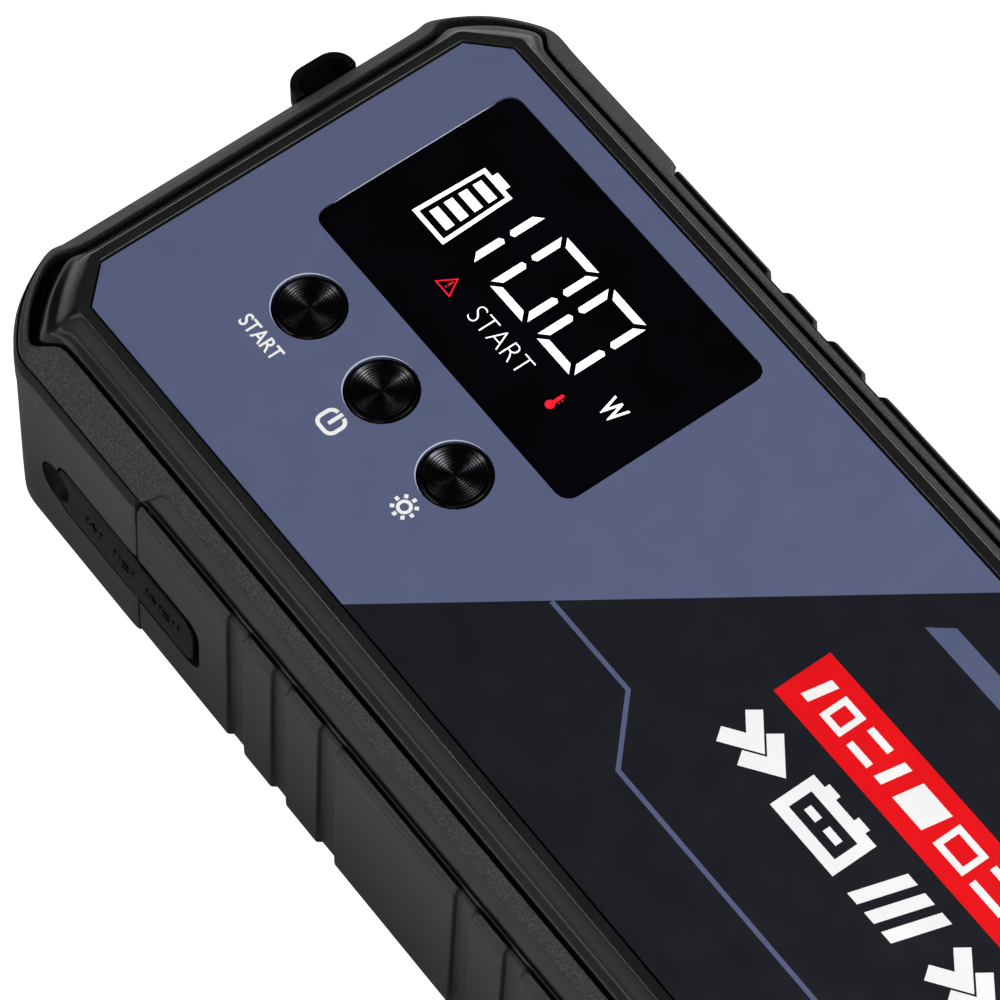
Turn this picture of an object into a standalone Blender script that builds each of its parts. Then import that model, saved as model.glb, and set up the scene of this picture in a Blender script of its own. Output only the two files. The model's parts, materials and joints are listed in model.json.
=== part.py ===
"""Jump starter pack, lying on its back with its face up.

Frame: +X along the length, the display end at -X; +Z up through the face; the USB cover on the -Y wall.
The origin is at the middle of the underside. Depths are measured down from the top of the face panel.
"""

import math
from collections import namedtuple

import bmesh
import bpy
from mathutils import Matrix, Vector

MM = 0.001
GAP = 0.3 * MM

# Face panel
PANEL_TOP = 44.7 * MM
PANEL_LENGTH = 238 * MM
PANEL_WIDTH = 74.5 * MM
PANEL_CUT = 5.3 * MM
PANEL_THICK = 1.2 * MM
PANEL_END = PANEL_LENGTH / 2
PANEL_SIDE = PANEL_WIDTH / 2

# Casing
LIP_RISE = 0.3 * MM
WALL_DRAFT = 0.045
WALL_DRAFT_FROM = 12 * MM
WALL_OFFSET = 11.15 * MM
END_EXTRA = 0.65 * MM
GUARD_PROUD = 0.6 * MM
SEAM_X = 88.5 * MM
SEAM_WIDTH = 0.1 * MM
CORNER_STEPS = 6
LEDGE_DEPTH = 10.5 * MM
LEDGE_INSET = 1.4 * MM
INNER_SIDE = 45.0 * MM
INNER_CUT = 7.5 * MM
FLOOR_THICK = 2.5 * MM

# The outer lines of the armour, from its foot to the crease of the textured band. Each has its offset from the
# panel's edge, its depth, the side and depth of the middle of the pack at that line, and the corner's extra swell.
Armour = namedtuple("Armour", "offset depth middle_side middle_depth swell bulge")
CHANNEL_SIDE = 45.4 * MM
ARMOUR_LINES = (
    Armour(12.35 * MM, 44.7 * MM, 46.4 * MM, 44.7 * MM, 0.0, 1.5 * MM),
    Armour(12.6 * MM, 44.2 * MM, 47.0 * MM, 43.9 * MM, 0.0, 1.5 * MM),
    Armour(11.29 * MM, 15.0 * MM, 45.7 * MM, 15.0 * MM, 0.3 * MM, 1.6 * MM),
    Armour(11.05 * MM, 11.9 * MM, CHANNEL_SIDE + 0.1 * MM, 11.9 * MM, 0.4 * MM, 1.8 * MM),
    Armour(10.5 * MM, 9.0 * MM, CHANNEL_SIDE, 10.4 * MM, 0.35 * MM, 1.7 * MM),
    Armour(10.35 * MM, 8.7 * MM, 46.2 * MM, 9.2 * MM, 0.3 * MM, 1.6 * MM),
)

# Lines that swing out and down round the corners. End and side are where the straight runs lie, and the arc runs
# between two corner points that are given from the panel's end and from the middle of the pack.
Flare = namedtuple("Flare", "end side depth arc_start arc_end arc_depth bulge lead")
BAND_EDGE = Flare(
    8.7 * MM, 45.25 * MM, 6.3 * MM, (10.9 * MM, 34.0 * MM), (-1.3 * MM, 47.1 * MM), 8.0 * MM, 1.45 * MM,
    (-4.2 * MM, 31.9 * MM),
)
BAND_FACE = Flare(
    8.5 * MM, 45.05 * MM, 6.1 * MM, (10.4 * MM, 34.1 * MM), (-1.5 * MM, 46.8 * MM), 7.5 * MM, 1.4 * MM,
    (-4.4 * MM, 31.8 * MM),
)
BAND_INNER = Flare(
    6.5 * MM, 42.9 * MM, 3.9 * MM, (9.7 * MM, 34.4 * MM), (-1.8 * MM, 46.2 * MM), 7.0 * MM, 1.4 * MM,
    (-5.4 * MM, 31.4 * MM),
)
BEZEL_KINK = Flare(
    3.8 * MM, 40.75 * MM, 2.8 * MM, (4.6 * MM, 33.3 * MM), (-3.6 * MM, 42.6 * MM), 3.2 * MM, 0.5 * MM,
    (-5.6 * MM, 31.6 * MM),
)
BEZEL_EDGE = Flare(
    5.3 * MM, 41.85 * MM, 4.2 * MM, (7.4 * MM, 33.5 * MM), (-2.3 * MM, 45.2 * MM), 6.5 * MM, 0.9 * MM,
    (-5.6 * MM, 31.0 * MM),
)
GASKET_EDGE = Flare(
    5.0 * MM, 41.5 * MM, 9.4 * MM, (7.0 * MM, 33.4 * MM), (-2.6 * MM, 44.9 * MM), 9.4 * MM, 0.9 * MM,
    (-5.6 * MM, 31.0 * MM),
)
BAND_LOWERED = (44.85 * MM, 6.75 * MM)
SKIRT_DEPTH = 9.1 * MM
LIP_WIDTH = 1.95 * MM

# Side grips
GRIP_BASE_DEPTH = 10.6 * MM
GRIP_BASE_DROP = 0.9 * MM
GRIP_INNER = 46.0 * MM
GRIP_END_GAP = 0.4 * MM
RIB_TOP = (47.65 * MM, 9.8 * MM)
RIB_SHOULDER_DEPTH = 10.9 * MM
RIB_SPANS = (
    (-88.1 * MM, -66.0 * MM),
    (-62.5 * MM, -55.3 * MM),
    (-52.2 * MM, -44.2 * MM),
    (-40.4 * MM, -12.8 * MM),
    (-9.4 * MM, -1.7 * MM),
)

# Display and buttons
WINDOW_X = (-107.5 * MM, -48.0 * MM)
WINDOW_Y = (-2.9 * MM, 32.4 * MM)
WINDOW_CORNER = 2.0 * MM
BUTTON_X = {"start": -95.25 * MM, "power": -77.9 * MM, "light": -60.6 * MM}
BUTTON_Y = -12.6 * MM
BUTTON_RADIUS = 5.25 * MM
BUTTON_TRAVEL = 0.6 * MM
DECK_DEPTH = 1.5 * MM
DECK_THICK = 2.2 * MM
BOARD_DEPTH = 9.2 * MM
BOARD_THICK = 1.6 * MM

# USB cover and its ports, on the -Y wall
FLAP_X = (-112.8 * MM, -73.6 * MM)
FLAP_DEPTH = (24.2 * MM, 34.9 * MM)
FLAP_THICK = 1.8 * MM
FLAP_CORNER = 2.6 * MM
USB_A_X = -101.0 * MM
USB_C_X = -83.0 * MM

# Output socket and its cover, on the -X end
SOCKET_Y = 14.7 * MM
SOCKET_DEPTH = 24.0 * MM
COVER_WIDTH = 30 * MM
COVER_DEPTH = (12.6 * MM, 35.5 * MM)
COVER_THICK = 2.0 * MM
TAB_Y = 15.9 * MM
TAB_WIDTH = 10.8 * MM
TAB_REACH = 4.9 * MM
TAB_DEPTH = (10.5 * MM, 14.6 * MM)
TAB_RIM = 1.2 * MM
TAB_CORNER = 3.6 * MM

# Battery
CELL_X = (-38 * MM, 100 * MM)
CELL_WIDTH = 68 * MM
CELL_THICK = 6.2 * MM
CELL_COUNT = 4
TRAY_WALL = 1.2 * MM

# Lamp, on the +X end
LAMP_WIDTH = 42 * MM
LAMP_DEPTH = (18 * MM, 32 * MM)

# Case screws
SCREW_PLACES = (
    (-64 * MM, -39.8 * MM),
    (-103 * MM, 37.5 * MM),
    (22 * MM, -39.8 * MM),
    (22 * MM, 39.8 * MM),
    (106 * MM, -37.0 * MM),
    (106 * MM, 37.0 * MM),
)
BOSS_RADIUS = 3.4 * MM

MATERIALS = {
    "casing_black": ((0.012, 0.012, 0.013), 0.62, 0.0),
    "bezel_gloss": ((0.010, 0.010, 0.011), 0.16, 0.0),
    "rubber_black": ((0.014, 0.014, 0.014), 0.78, 0.0),
    "panel_print": ((0.095, 0.115, 0.205), 0.42, 0.0),
    "display_glass": ((0.004, 0.004, 0.005), 0.06, 0.0),
    "button_metal": ((0.020, 0.020, 0.022), 0.28, 1.0),
    "board_green": ((0.020, 0.120, 0.050), 0.50, 0.0),
    "steel": ((0.55, 0.56, 0.58), 0.32, 1.0),
    "brass": ((0.72, 0.52, 0.22), 0.30, 1.0),
    "aluminium": ((0.62, 0.63, 0.65), 0.38, 1.0),
    "cell_wrap": ((0.30, 0.34, 0.38), 0.40, 0.0),
    "socket_blue": ((0.020, 0.080, 0.330), 0.45, 0.0),
    "wire_red": ((0.450, 0.020, 0.015), 0.50, 0.0),
    "wire_black": ((0.015, 0.015, 0.015), 0.50, 0.0),
    "foam_grey": ((0.16, 0.16, 0.17), 0.95, 0.0),
    "lens_clear": ((0.85, 0.88, 0.90), 0.08, 0.0),
    "led_yellow": ((0.90, 0.80, 0.35), 0.40, 0.0),
}


def clear_scene():
    for obj in list(bpy.data.objects):
        bpy.data.objects.remove(obj, do_unlink=True)


def make_collection(name, hidden=False):
    collection = bpy.data.collections.new(name)
    collection.hide_render = hidden
    bpy.context.scene.collection.children.link(collection)
    return collection


def make_material(name, colour, roughness, metallic):
    material = bpy.data.materials.new(name)
    material.use_nodes = True
    shader = material.node_tree.nodes["Principled BSDF"]
    shader.inputs["Base Color"].default_value = (*colour, 1.0)
    shader.inputs["Roughness"].default_value = roughness
    shader.inputs["Metallic"].default_value = metallic
    material.diffuse_color = (*colour, 1.0)
    return material


clear_scene()
PARTS = make_collection("jump_starter_pack")
CUTTERS = make_collection("cutters", hidden=True)


# ---------------------------------------------------------------- modelling helpers


def level(depth):
    """Height of a point that lies this far below the top of the face panel."""
    return PANEL_TOP - depth


def wall_growth(depth):
    """How far the drafted walls have moved out at this depth."""
    return WALL_DRAFT * (depth - WALL_DRAFT_FROM)


def wall_side(depth):
    """Y of the casing's long walls."""
    return PANEL_SIDE + WALL_OFFSET + wall_growth(depth)


def wall_end(depth):
    """X of the casing's end walls between their armoured corners."""
    return PANEL_END + WALL_OFFSET + END_EXTRA + wall_growth(depth)


def add_part(name, bm, material, smooth=False):
    """Turn a bmesh into a named part with its own material."""
    bmesh.ops.recalc_face_normals(bm, faces=bm.faces)
    mesh = bpy.data.meshes.new(name)
    bm.to_mesh(mesh)
    bm.free()
    obj = bpy.data.objects.new(name, mesh)
    mesh.materials.append(make_material(name, *MATERIALS[material]))
    PARTS.objects.link(obj)
    if smooth:
        mesh.shade_smooth()
        mesh.set_sharp_from_angle(angle=math.radians(35))
    return obj


def as_cutter(obj):
    """Move an object out of the parts and into the cutters."""
    PARTS.objects.unlink(obj)
    CUTTERS.objects.link(obj)
    obj.hide_render = True
    obj.display_type = "WIRE"
    return obj


def set_origin(obj, point):
    """Put the object's origin at a point, as on a hinge line, and leave its shape where it is."""
    obj.data.transform(Matrix.Translation(-Vector(point)))
    obj.location = point


def combine(target, operation, pieces):
    for piece in pieces:
        modifier = target.modifiers.new(piece.name, "BOOLEAN")
        modifier.operation = operation
        modifier.solver = "EXACT"
        modifier.object = as_cutter(piece)


def cut(target, *pieces):
    combine(target, "DIFFERENCE", pieces)


def join(target, *pieces):
    combine(target, "UNION", pieces)


def block(name, x, y, z, material="casing_black", bevel=0.0):
    """A box between pairs of X, Y and Z."""
    bm = bmesh.new()
    bmesh.ops.create_cube(bm, size=1.0)
    size = Vector((x[1] - x[0], y[1] - y[0], z[1] - z[0]))
    centre = Vector((x[0] + x[1], y[0] + y[1], z[0] + z[1])) / 2
    bmesh.ops.scale(bm, vec=size, verts=bm.verts)
    bmesh.ops.translate(bm, vec=centre, verts=bm.verts)
    obj = add_part(name, bm, material)
    if bevel:
        modifier = obj.modifiers.new("rounding", "BEVEL")
        modifier.width = bevel
        modifier.segments = 2
    return obj


def rod(name, radius, start, end, material="casing_black", sides=24, end_radius=None):
    """A cylinder or a cone between two points."""
    start = Vector(start)
    along = Vector(end) - start
    bm = bmesh.new()
    bmesh.ops.create_cone(
        bm,
        cap_ends=True,
        segments=sides,
        radius1=radius,
        radius2=radius if end_radius is None else end_radius,
        depth=along.length,
    )
    turn = Vector((0, 0, 1)).rotation_difference(along).to_matrix().to_4x4()
    bmesh.ops.transform(bm, matrix=Matrix.Translation(start + along / 2) @ turn, verts=bm.verts)
    return add_part(name, bm, material, smooth=True)


def prism(name, outline, start, sweep, material="casing_black", smooth=False):
    """A flat outline of 3D points, moved to start and swept along a vector."""
    bm = bmesh.new()
    corners = [bm.verts.new(Vector(point) + Vector(start)) for point in outline]
    face = bm.faces.new(corners)
    swept = bmesh.ops.extrude_face_region(bm, geom=[face])["geom"]
    moved = [item for item in swept if isinstance(item, bmesh.types.BMVert)]
    bmesh.ops.translate(bm, vec=Vector(sweep), verts=moved)
    return add_part(name, bm, material, smooth)


def flat_prism(name, outline, depth, thickness, material="casing_black", smooth=False):
    """A plan outline with its top at a depth and a thickness downwards."""
    points = [(x, y, level(depth)) for x, y in outline]
    return prism(name, points, (0, 0, 0), (0, 0, -thickness), material, smooth)


def rounded_rectangle(x, y, radius, steps=4):
    """Plan outline of a rectangle with round corners."""
    points = []
    centres = (
        (x[1] - radius, y[1] - radius, 0),
        (x[0] + radius, y[1] - radius, 90),
        (x[0] + radius, y[0] + radius, 180),
        (x[1] - radius, y[0] + radius, 270),
    )
    for centre_x, centre_y, first in centres:
        for step in range(steps + 1):
            angle = math.radians(first + 90 * step / steps)
            points.append((centre_x + radius * math.cos(angle), centre_y + radius * math.sin(angle)))
    return points


def loft(name, rings, material, capped, smooth=False):
    """Skin equal rings of points: capped at both ends, or closed back on the first ring."""
    bm = bmesh.new()
    rows = [[bm.verts.new(point) for point in ring] for ring in rings]
    count = len(rows[0])
    pairs = list(zip(rows, rows[1:]))
    if capped:
        bm.faces.new(rows[0])
        bm.faces.new(rows[-1])
    else:
        pairs.append((rows[-1], rows[0]))
    for low, high in pairs:
        for i in range(count):
            j = (i + 1) % count
            bm.faces.new((low[i], low[j], high[j], high[i]))
    bmesh.ops.triangulate(bm, faces=bm.faces)
    return add_part(name, bm, material, smooth)


# ---------------------------------------------------------------- plan outlines of the casing


def bowed(start, end, bulge, steps=CORNER_STEPS):
    """Points from start to end along a chord that bows outwards by bulge."""
    start, end = Vector(start), Vector(end)
    along = end - start
    normal = Vector((-along.y, along.x, 0)).normalized()
    if normal.dot(start) < 0:
        normal = -normal
    points = []
    for step in range(steps + 1):
        t = step / steps
        points.append(start + along * t + normal * bulge * math.sin(math.pi * t))
    return points


def all_corners(quadrant):
    """A whole ring, counter-clockwise, from the points of the +X +Y quarter in end-to-side order."""
    ring = []
    for sign_x, sign_y in ((1, 1), (-1, 1), (-1, -1), (1, -1)):
        points = [(sign_x * x, sign_y * y, z) for x, y, z in quadrant]
        ring.extend(points if sign_x == sign_y else reversed(points))
    return ring


def seam_points(side, depth, middle_side, middle_depth):
    """The step in a long edge where the armoured end gives way to the middle."""
    return [
        (SEAM_X, side, level(depth)),
        (SEAM_X - SEAM_WIDTH, middle_side, level(middle_depth)),
    ]


def outer_quadrant(line):
    """One of the armour's outer lines, whose corner stands proud and swells towards the long side."""
    end = PANEL_END + line.offset + END_EXTRA
    side = PANEL_SIDE + line.offset
    z = level(line.depth)
    arc = bowed((end + GUARD_PROUD, 33.6 * MM, z), (PANEL_END - 1.0 * MM, side + line.swell, z), line.bulge)
    return [(end, 32.2 * MM, z), *arc, (PANEL_END - 5.0 * MM, side, z)]


def flared_quadrant(line, depth=None):
    """A line that swings outwards and down round the corner, or the same line laid flat at a depth."""
    run_depth = line.depth if depth is None else depth
    arc_depth = line.arc_depth if depth is None else depth
    arc = bowed(
        (PANEL_END + line.arc_start[0], line.arc_start[1], level(arc_depth)),
        (PANEL_END + line.arc_end[0], line.arc_end[1], level(arc_depth)),
        line.bulge,
    )
    start = (PANEL_END + line.end, line.lead[1], level(run_depth))
    finish = (PANEL_END + line.lead[0], line.side, level(run_depth))
    return [start, *arc, finish]


def plain_quadrant(offset, depth, cut_length=PANEL_CUT):
    """The panel's own outline grown by offset, with straight cut corners."""
    end = PANEL_END + offset
    side = PANEL_SIDE + offset
    reach = cut_length + offset * 0.6
    z = level(depth)
    arc = bowed((end, side - reach, z), (end - reach, side, z), 0)
    return [(end, side - reach - 1.0 * MM, z), *arc, (end - reach - 1.0 * MM, side, z)]


# ---------------------------------------------------------------- casing


def upper_shell_rings():
    """Section of the shell, from the foot of the outer wall, over the band and down the inside."""
    rings = []

    def ring(quadrant, side, depth, middle_side, middle_depth):
        rings.append(all_corners(quadrant + seam_points(side, depth, middle_side, middle_depth)))

    for line in ARMOUR_LINES:
        ring(outer_quadrant(line), PANEL_SIDE + line.offset, line.depth, line.middle_side, line.middle_depth)
    ring(flared_quadrant(BAND_EDGE), BAND_EDGE.side, BAND_EDGE.depth, *BAND_LOWERED)
    ring(flared_quadrant(BAND_FACE), BAND_FACE.side, BAND_FACE.depth, BAND_FACE.side, BAND_FACE.depth)
    inner = BAND_INNER
    ring(flared_quadrant(inner), inner.side, inner.depth, inner.side, inner.depth)
    ring(flared_quadrant(inner, LEDGE_DEPTH), inner.side, LEDGE_DEPTH, inner.side, LEDGE_DEPTH)
    for depth in (LEDGE_DEPTH, LEDGE_DEPTH + 1.8 * MM):
        side = PANEL_SIDE + LEDGE_INSET
        ring(plain_quadrant(LEDGE_INSET, depth), side, depth, side, depth)
    for depth, middle_side in ((14.3 * MM, 43.2 * MM), (PANEL_TOP, 44.6 * MM)):
        side = INNER_SIDE + wall_growth(depth) * 0.3
        quadrant = plain_quadrant(side - PANEL_SIDE, depth, INNER_CUT)
        ring(quadrant, side, depth, middle_side, depth)
    return rings


def drafted_cutter(name, x, depth, skin, reach=6 * MM):
    """A block through the -Y wall, from reach outside it to skin below its drafted face."""
    outline = []
    for edge_depth in depth:
        y = -(wall_side(edge_depth) - skin)
        outline.append((x[0], y, level(edge_depth)))
    for edge_depth in reversed(depth):
        outline.append((x[0], -(wall_side(edge_depth) + reach), level(edge_depth)))
    return prism(name, outline, (0, 0, 0), (x[1] - x[0], 0, 0))


def grown(span, margin):
    return (span[0] - margin, span[1] + margin)


def heights(depths, margin=0.0):
    """Z range of a pair of depths."""
    return (level(depths[1] + margin), level(depths[0] - margin))


def make_upper_shell():
    shell = loft("upper_shell", upper_shell_rings(), "casing_black", capped=False)
    boss_top = level(LEDGE_DEPTH + 0.9 * MM)
    for index, (x, y) in enumerate(SCREW_PLACES):
        join(shell, rod(f"boss_{index}", BOSS_RADIUS, (x, y, FLOOR_THICK + GAP), (x, y, boss_top), sides=20))
    for index, (x, y) in enumerate(SCREW_PLACES):
        cut(shell, rod(f"boss_bore_{index}", 1.6 * MM, (x, y, 0), (x, y, 14 * MM), sides=16))
    cut(shell, drafted_cutter("flap_recess", grown(FLAP_X, GAP), grown(FLAP_DEPTH, GAP), FLAP_THICK + GAP))
    cut(
        shell,
        block("port_opening", grown(PORT_FRAME_X, GAP), (-60 * MM, -40 * MM), grown(PORT_FRAME_Z, GAP)),
        block(
            "cover_recess",
            (-150 * MM, -(wall_end(COVER_DEPTH[0]) - COVER_THICK - GAP)),
            (COVER_Y[0] - GAP, COVER_Y[1] + GAP),
            heights(COVER_DEPTH, GAP),
        ),
        block("socket_opening", (-150 * MM, -110 * MM), grown(SOCKET_SPAN_Y, GAP), grown(SOCKET_Z, GAP)),
        block(
            "lamp_recess",
            (wall_end(LAMP_DEPTH[0]) - 2.6 * MM, 150 * MM),
            (-LAMP_WIDTH / 2 - GAP, LAMP_WIDTH / 2 + GAP),
            heights(LAMP_DEPTH, GAP),
        ),
        block(
            "lamp_opening",
            (112 * MM, 150 * MM),
            (-LAMP_WIDTH / 2 + 1.5 * MM, LAMP_WIDTH / 2 - 1.5 * MM),
            heights((LAMP_DEPTH[0] + 1.5 * MM, LAMP_DEPTH[1] - 1.5 * MM)),
        ),
    )
    return shell


def make_bottom_cover():
    """The floor plate, inside the shell's rim, with countersunk screw holes."""
    margin = GAP + 0.2 * MM
    offset = INNER_SIDE - PANEL_SIDE - margin
    quadrant = plain_quadrant(offset, PANEL_TOP, INNER_CUT)
    ring = all_corners(
        quadrant + seam_points(PANEL_SIDE + offset, PANEL_TOP, 44.3 * MM - margin, PANEL_TOP)
    )
    cover = prism("bottom_cover", ring, (0, 0, 0), (0, 0, FLOOR_THICK), "casing_black")
    for index, (x, y) in enumerate(SCREW_PLACES):
        cut(
            cover,
            rod(f"head_well_{index}", 3.3 * MM, (x, y, -1 * MM), (x, y, 1.5 * MM), sides=20),
            rod(f"screw_hole_{index}", 1.7 * MM, (x, y, -1 * MM), (x, y, 5 * MM), sides=16),
        )
    return cover


def make_screws():
    for index, (x, y) in enumerate(SCREW_PLACES):
        screw = rod(f"case_screw_{index + 1}", 2.9 * MM, (x, y, 0.2 * MM), (x, y, 1.3 * MM), "steel", 20)
        shaft = rod(f"screw_shaft_{index}", 1.3 * MM, (x, y, 1.0 * MM), (x, y, 11 * MM), sides=12)
        join(screw, shaft)
        slots = []
        for turn in (0, 90):
            angle = math.radians(turn)
            reach = Vector((math.cos(angle), math.sin(angle), 0)) * 1.6 * MM
            centre = Vector((x, y, 0.4 * MM))
            slots.append(rod(f"slot_{index}_{turn}", 0.45 * MM, centre - reach, centre + reach, sides=4))
        cut(screw, *slots)


def make_front_bezel():
    """Glossy frame round the panel, with the deck that the panel is stuck to."""
    rings = [
        all_corners(plain_quadrant(GAP, DECK_DEPTH)),
        all_corners(plain_quadrant(GAP, -LIP_RISE)),
        all_corners(plain_quadrant(LIP_WIDTH, -LIP_RISE)),
        all_corners(flared_quadrant(BEZEL_KINK)),
        all_corners(flared_quadrant(BEZEL_EDGE)),
        all_corners(flared_quadrant(BEZEL_EDGE, SKIRT_DEPTH)),
        all_corners(plain_quadrant(2.3 * MM, SKIRT_DEPTH)),
        all_corners(plain_quadrant(1.2 * MM, DECK_DEPTH + DECK_THICK)),
    ]
    bezel = loft("front_bezel", rings, "bezel_gloss", capped=True)
    through = heights((-5 * MM, 8 * MM))
    cut(bezel, block("module_hole", grown(MODULE_X, GAP), grown(MODULE_Y, GAP), through))
    for name, x in BUTTON_X.items():
        low, high = [(x, BUTTON_Y, z) for z in through]
        cut(bezel, rod(f"deck_hole_{name}", BUTTON_RADIUS + GAP, low, high, sides=32))
    return bezel


def make_seal_gasket():
    """Rubber ring on the shell's ledge, under the bezel's skirt."""
    top = SKIRT_DEPTH + GAP
    bottom = LEDGE_DEPTH - GAP
    rings = [
        all_corners(flared_quadrant(GASKET_EDGE, top)),
        all_corners(flared_quadrant(GASKET_EDGE, bottom)),
        all_corners(plain_quadrant(2.5 * MM, bottom)),
        all_corners(plain_quadrant(2.5 * MM, top)),
    ]
    return loft("seal_gasket", rings, "rubber_black", capped=False)


def make_side_grip(name, sign):
    """Rubber strip with raised vertical ribs, in the channel of one long wall."""
    half = SEAM_X - SEAM_WIDTH - GRIP_END_GAP
    low = PANEL_TOP - 0.4 * MM
    top = GRIP_BASE_DEPTH
    base = wall_side(low) - GRIP_BASE_DROP

    def section(x, rows):
        return [(x, sign * y, level(depth)) for y, depth in rows]

    base_rows = (
        (GRIP_INNER, top + 0.3 * MM),
        (RIB_TOP[0] - 0.6 * MM, top),
        (wall_side(top) - GRIP_BASE_DROP, top + 0.6 * MM),
        (base, low - 0.6 * MM),
        (base - 0.6 * MM, low),
        (GRIP_INNER + 1.45 * MM, low),
    )
    grip = prism(name, section(-half, base_rows), (0, 0, 0), (2 * half, 0, 0), "rubber_black")
    rib_rows = (
        (RIB_TOP[0] - 0.5 * MM, top + 0.8 * MM),
        (RIB_TOP[0] - 0.35 * MM, RIB_TOP[1] + 0.1 * MM),
        RIB_TOP,
        (wall_side(RIB_SHOULDER_DEPTH), RIB_SHOULDER_DEPTH),
        (wall_side(low - 1 * MM), low - 0.9 * MM),
        (wall_side(low) - 0.9 * MM, low - 0.05 * MM),
        (base - 0.6 * MM, low - 0.6 * MM),
    )
    spans = list(RIB_SPANS) + [(-x1, -x0) for x0, x1 in reversed(RIB_SPANS)]
    for index, (x0, x1) in enumerate(spans):
        join(grip, prism(f"{name}_rib_{index}", section(x0, rib_rows), (0, 0, 0), (x1 - x0, 0, 0)))
    if sign < 0:
        cut(grip, drafted_cutter(f"{name}_notch", grown(FLAP_X, GAP), grown(FLAP_DEPTH, GAP), 5 * MM))
    return grip


# ---------------------------------------------------------------- face, display and buttons

MODULE_X = (WINDOW_X[0] + 1.0 * MM, WINDOW_X[1] - 1.0 * MM)
MODULE_Y = (WINDOW_Y[0] + 1.0 * MM, WINDOW_Y[1] - 1.0 * MM)


def make_face():
    outline = [(x, y) for x, y, _ in all_corners(plain_quadrant(0, 0))]
    panel = flat_prism("face_panel", outline, 0, PANEL_THICK, "panel_print")
    window_outline = rounded_rectangle(grown(WINDOW_X, GAP), grown(WINDOW_Y, GAP), WINDOW_CORNER + GAP)
    cut(panel, flat_prism("window_cut", window_outline, -1 * MM, 4 * MM))
    for name, x in BUTTON_X.items():
        top, low = level(-1 * MM), level(3 * MM)
        cut(panel, rod(f"panel_hole_{name}", BUTTON_RADIUS + GAP, (x, BUTTON_Y, low), (x, BUTTON_Y, top), sides=32))
    window = rounded_rectangle(WINDOW_X, WINDOW_Y, WINDOW_CORNER)
    flat_prism("display_window", window, 0, PANEL_THICK, "display_glass")
    block("display_module", MODULE_X, MODULE_Y, heights((DECK_DEPTH, 6.4 * MM)), "casing_black")


def make_button(name, x):
    """Turned metal cap on a flange and a stem, with its origin in its own axis."""
    top = level(-0.15 * MM)
    flange_top = level(DECK_DEPTH + DECK_THICK + GAP)
    profile = (
        (0.0, top - 0.35 * MM),
        (BUTTON_RADIUS - 0.7 * MM, top - 0.10 * MM),
        (BUTTON_RADIUS - 0.35 * MM, top),
        (BUTTON_RADIUS, top - 0.30 * MM),
        (BUTTON_RADIUS, flange_top),
        (6.2 * MM, flange_top),
        (6.2 * MM, flange_top - 0.8 * MM),
        (1.5 * MM, flange_top - 0.8 * MM),
        (1.5 * MM, flange_top - 1.0 * MM),
        (0.0, flange_top - 1.0 * MM),
    )
    bm = bmesh.new()
    points = [bm.verts.new((radius, 0, z - top)) for radius, z in profile]
    edges = [bm.edges.new(pair) for pair in zip(points, points[1:])]
    bmesh.ops.spin(
        bm,
        geom=points + edges,
        cent=(0, 0, 0),
        axis=(0, 0, 1),
        angle=2 * math.pi,
        steps=32,
        use_merge=True,
    )
    bmesh.ops.remove_doubles(bm, verts=bm.verts, dist=1e-6)
    button = add_part(f"{name}_button", bm, "button_metal", smooth=True)
    button.location = (x, BUTTON_Y, top)


def make_control_board():
    z = heights((BOARD_DEPTH, BOARD_DEPTH + BOARD_THICK))
    block("control_board", (-111 * MM, -44 * MM), (-20 * MM, 33.5 * MM), z, "board_green")
    for name, x in BUTTON_X.items():
        board_top = level(BOARD_DEPTH)
        body = block(
            f"{name}_switch",
            (x - 3 * MM, x + 3 * MM),
            (BUTTON_Y - 3 * MM, BUTTON_Y + 3 * MM),
            (board_top + GAP, board_top + 2.4 * MM),
            "casing_black",
        )
        plunger_top = level(DECK_DEPTH + DECK_THICK + GAP + 1.0 * MM + BUTTON_TRAVEL + 0.15 * MM)
        plunger = rod(
            f"{name}_plunger", 1.4 * MM, (x, BUTTON_Y, board_top + 1 * MM), (x, BUTTON_Y, plunger_top), sides=16
        )
        join(body, plunger)


# ---------------------------------------------------------------- USB ports and their cover

PORT_FRAME_X = (-111.4 * MM, -75.2 * MM)
PORT_FRAME_Z = (level(33.9 * MM), level(25.2 * MM))
PORT_FRAME_Y = (-46.3 * MM, -42.6 * MM)
PORT_Z = (PORT_FRAME_Z[0] + PORT_FRAME_Z[1]) / 2


def port_block(name, x, width, height, y, material="casing_black"):
    """A block centred on the ports' middle line."""
    half_w, half_h = width / 2, height / 2
    return block(name, (x - half_w, x + half_w), y, (PORT_Z - half_h, PORT_Z + half_h), material)


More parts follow.
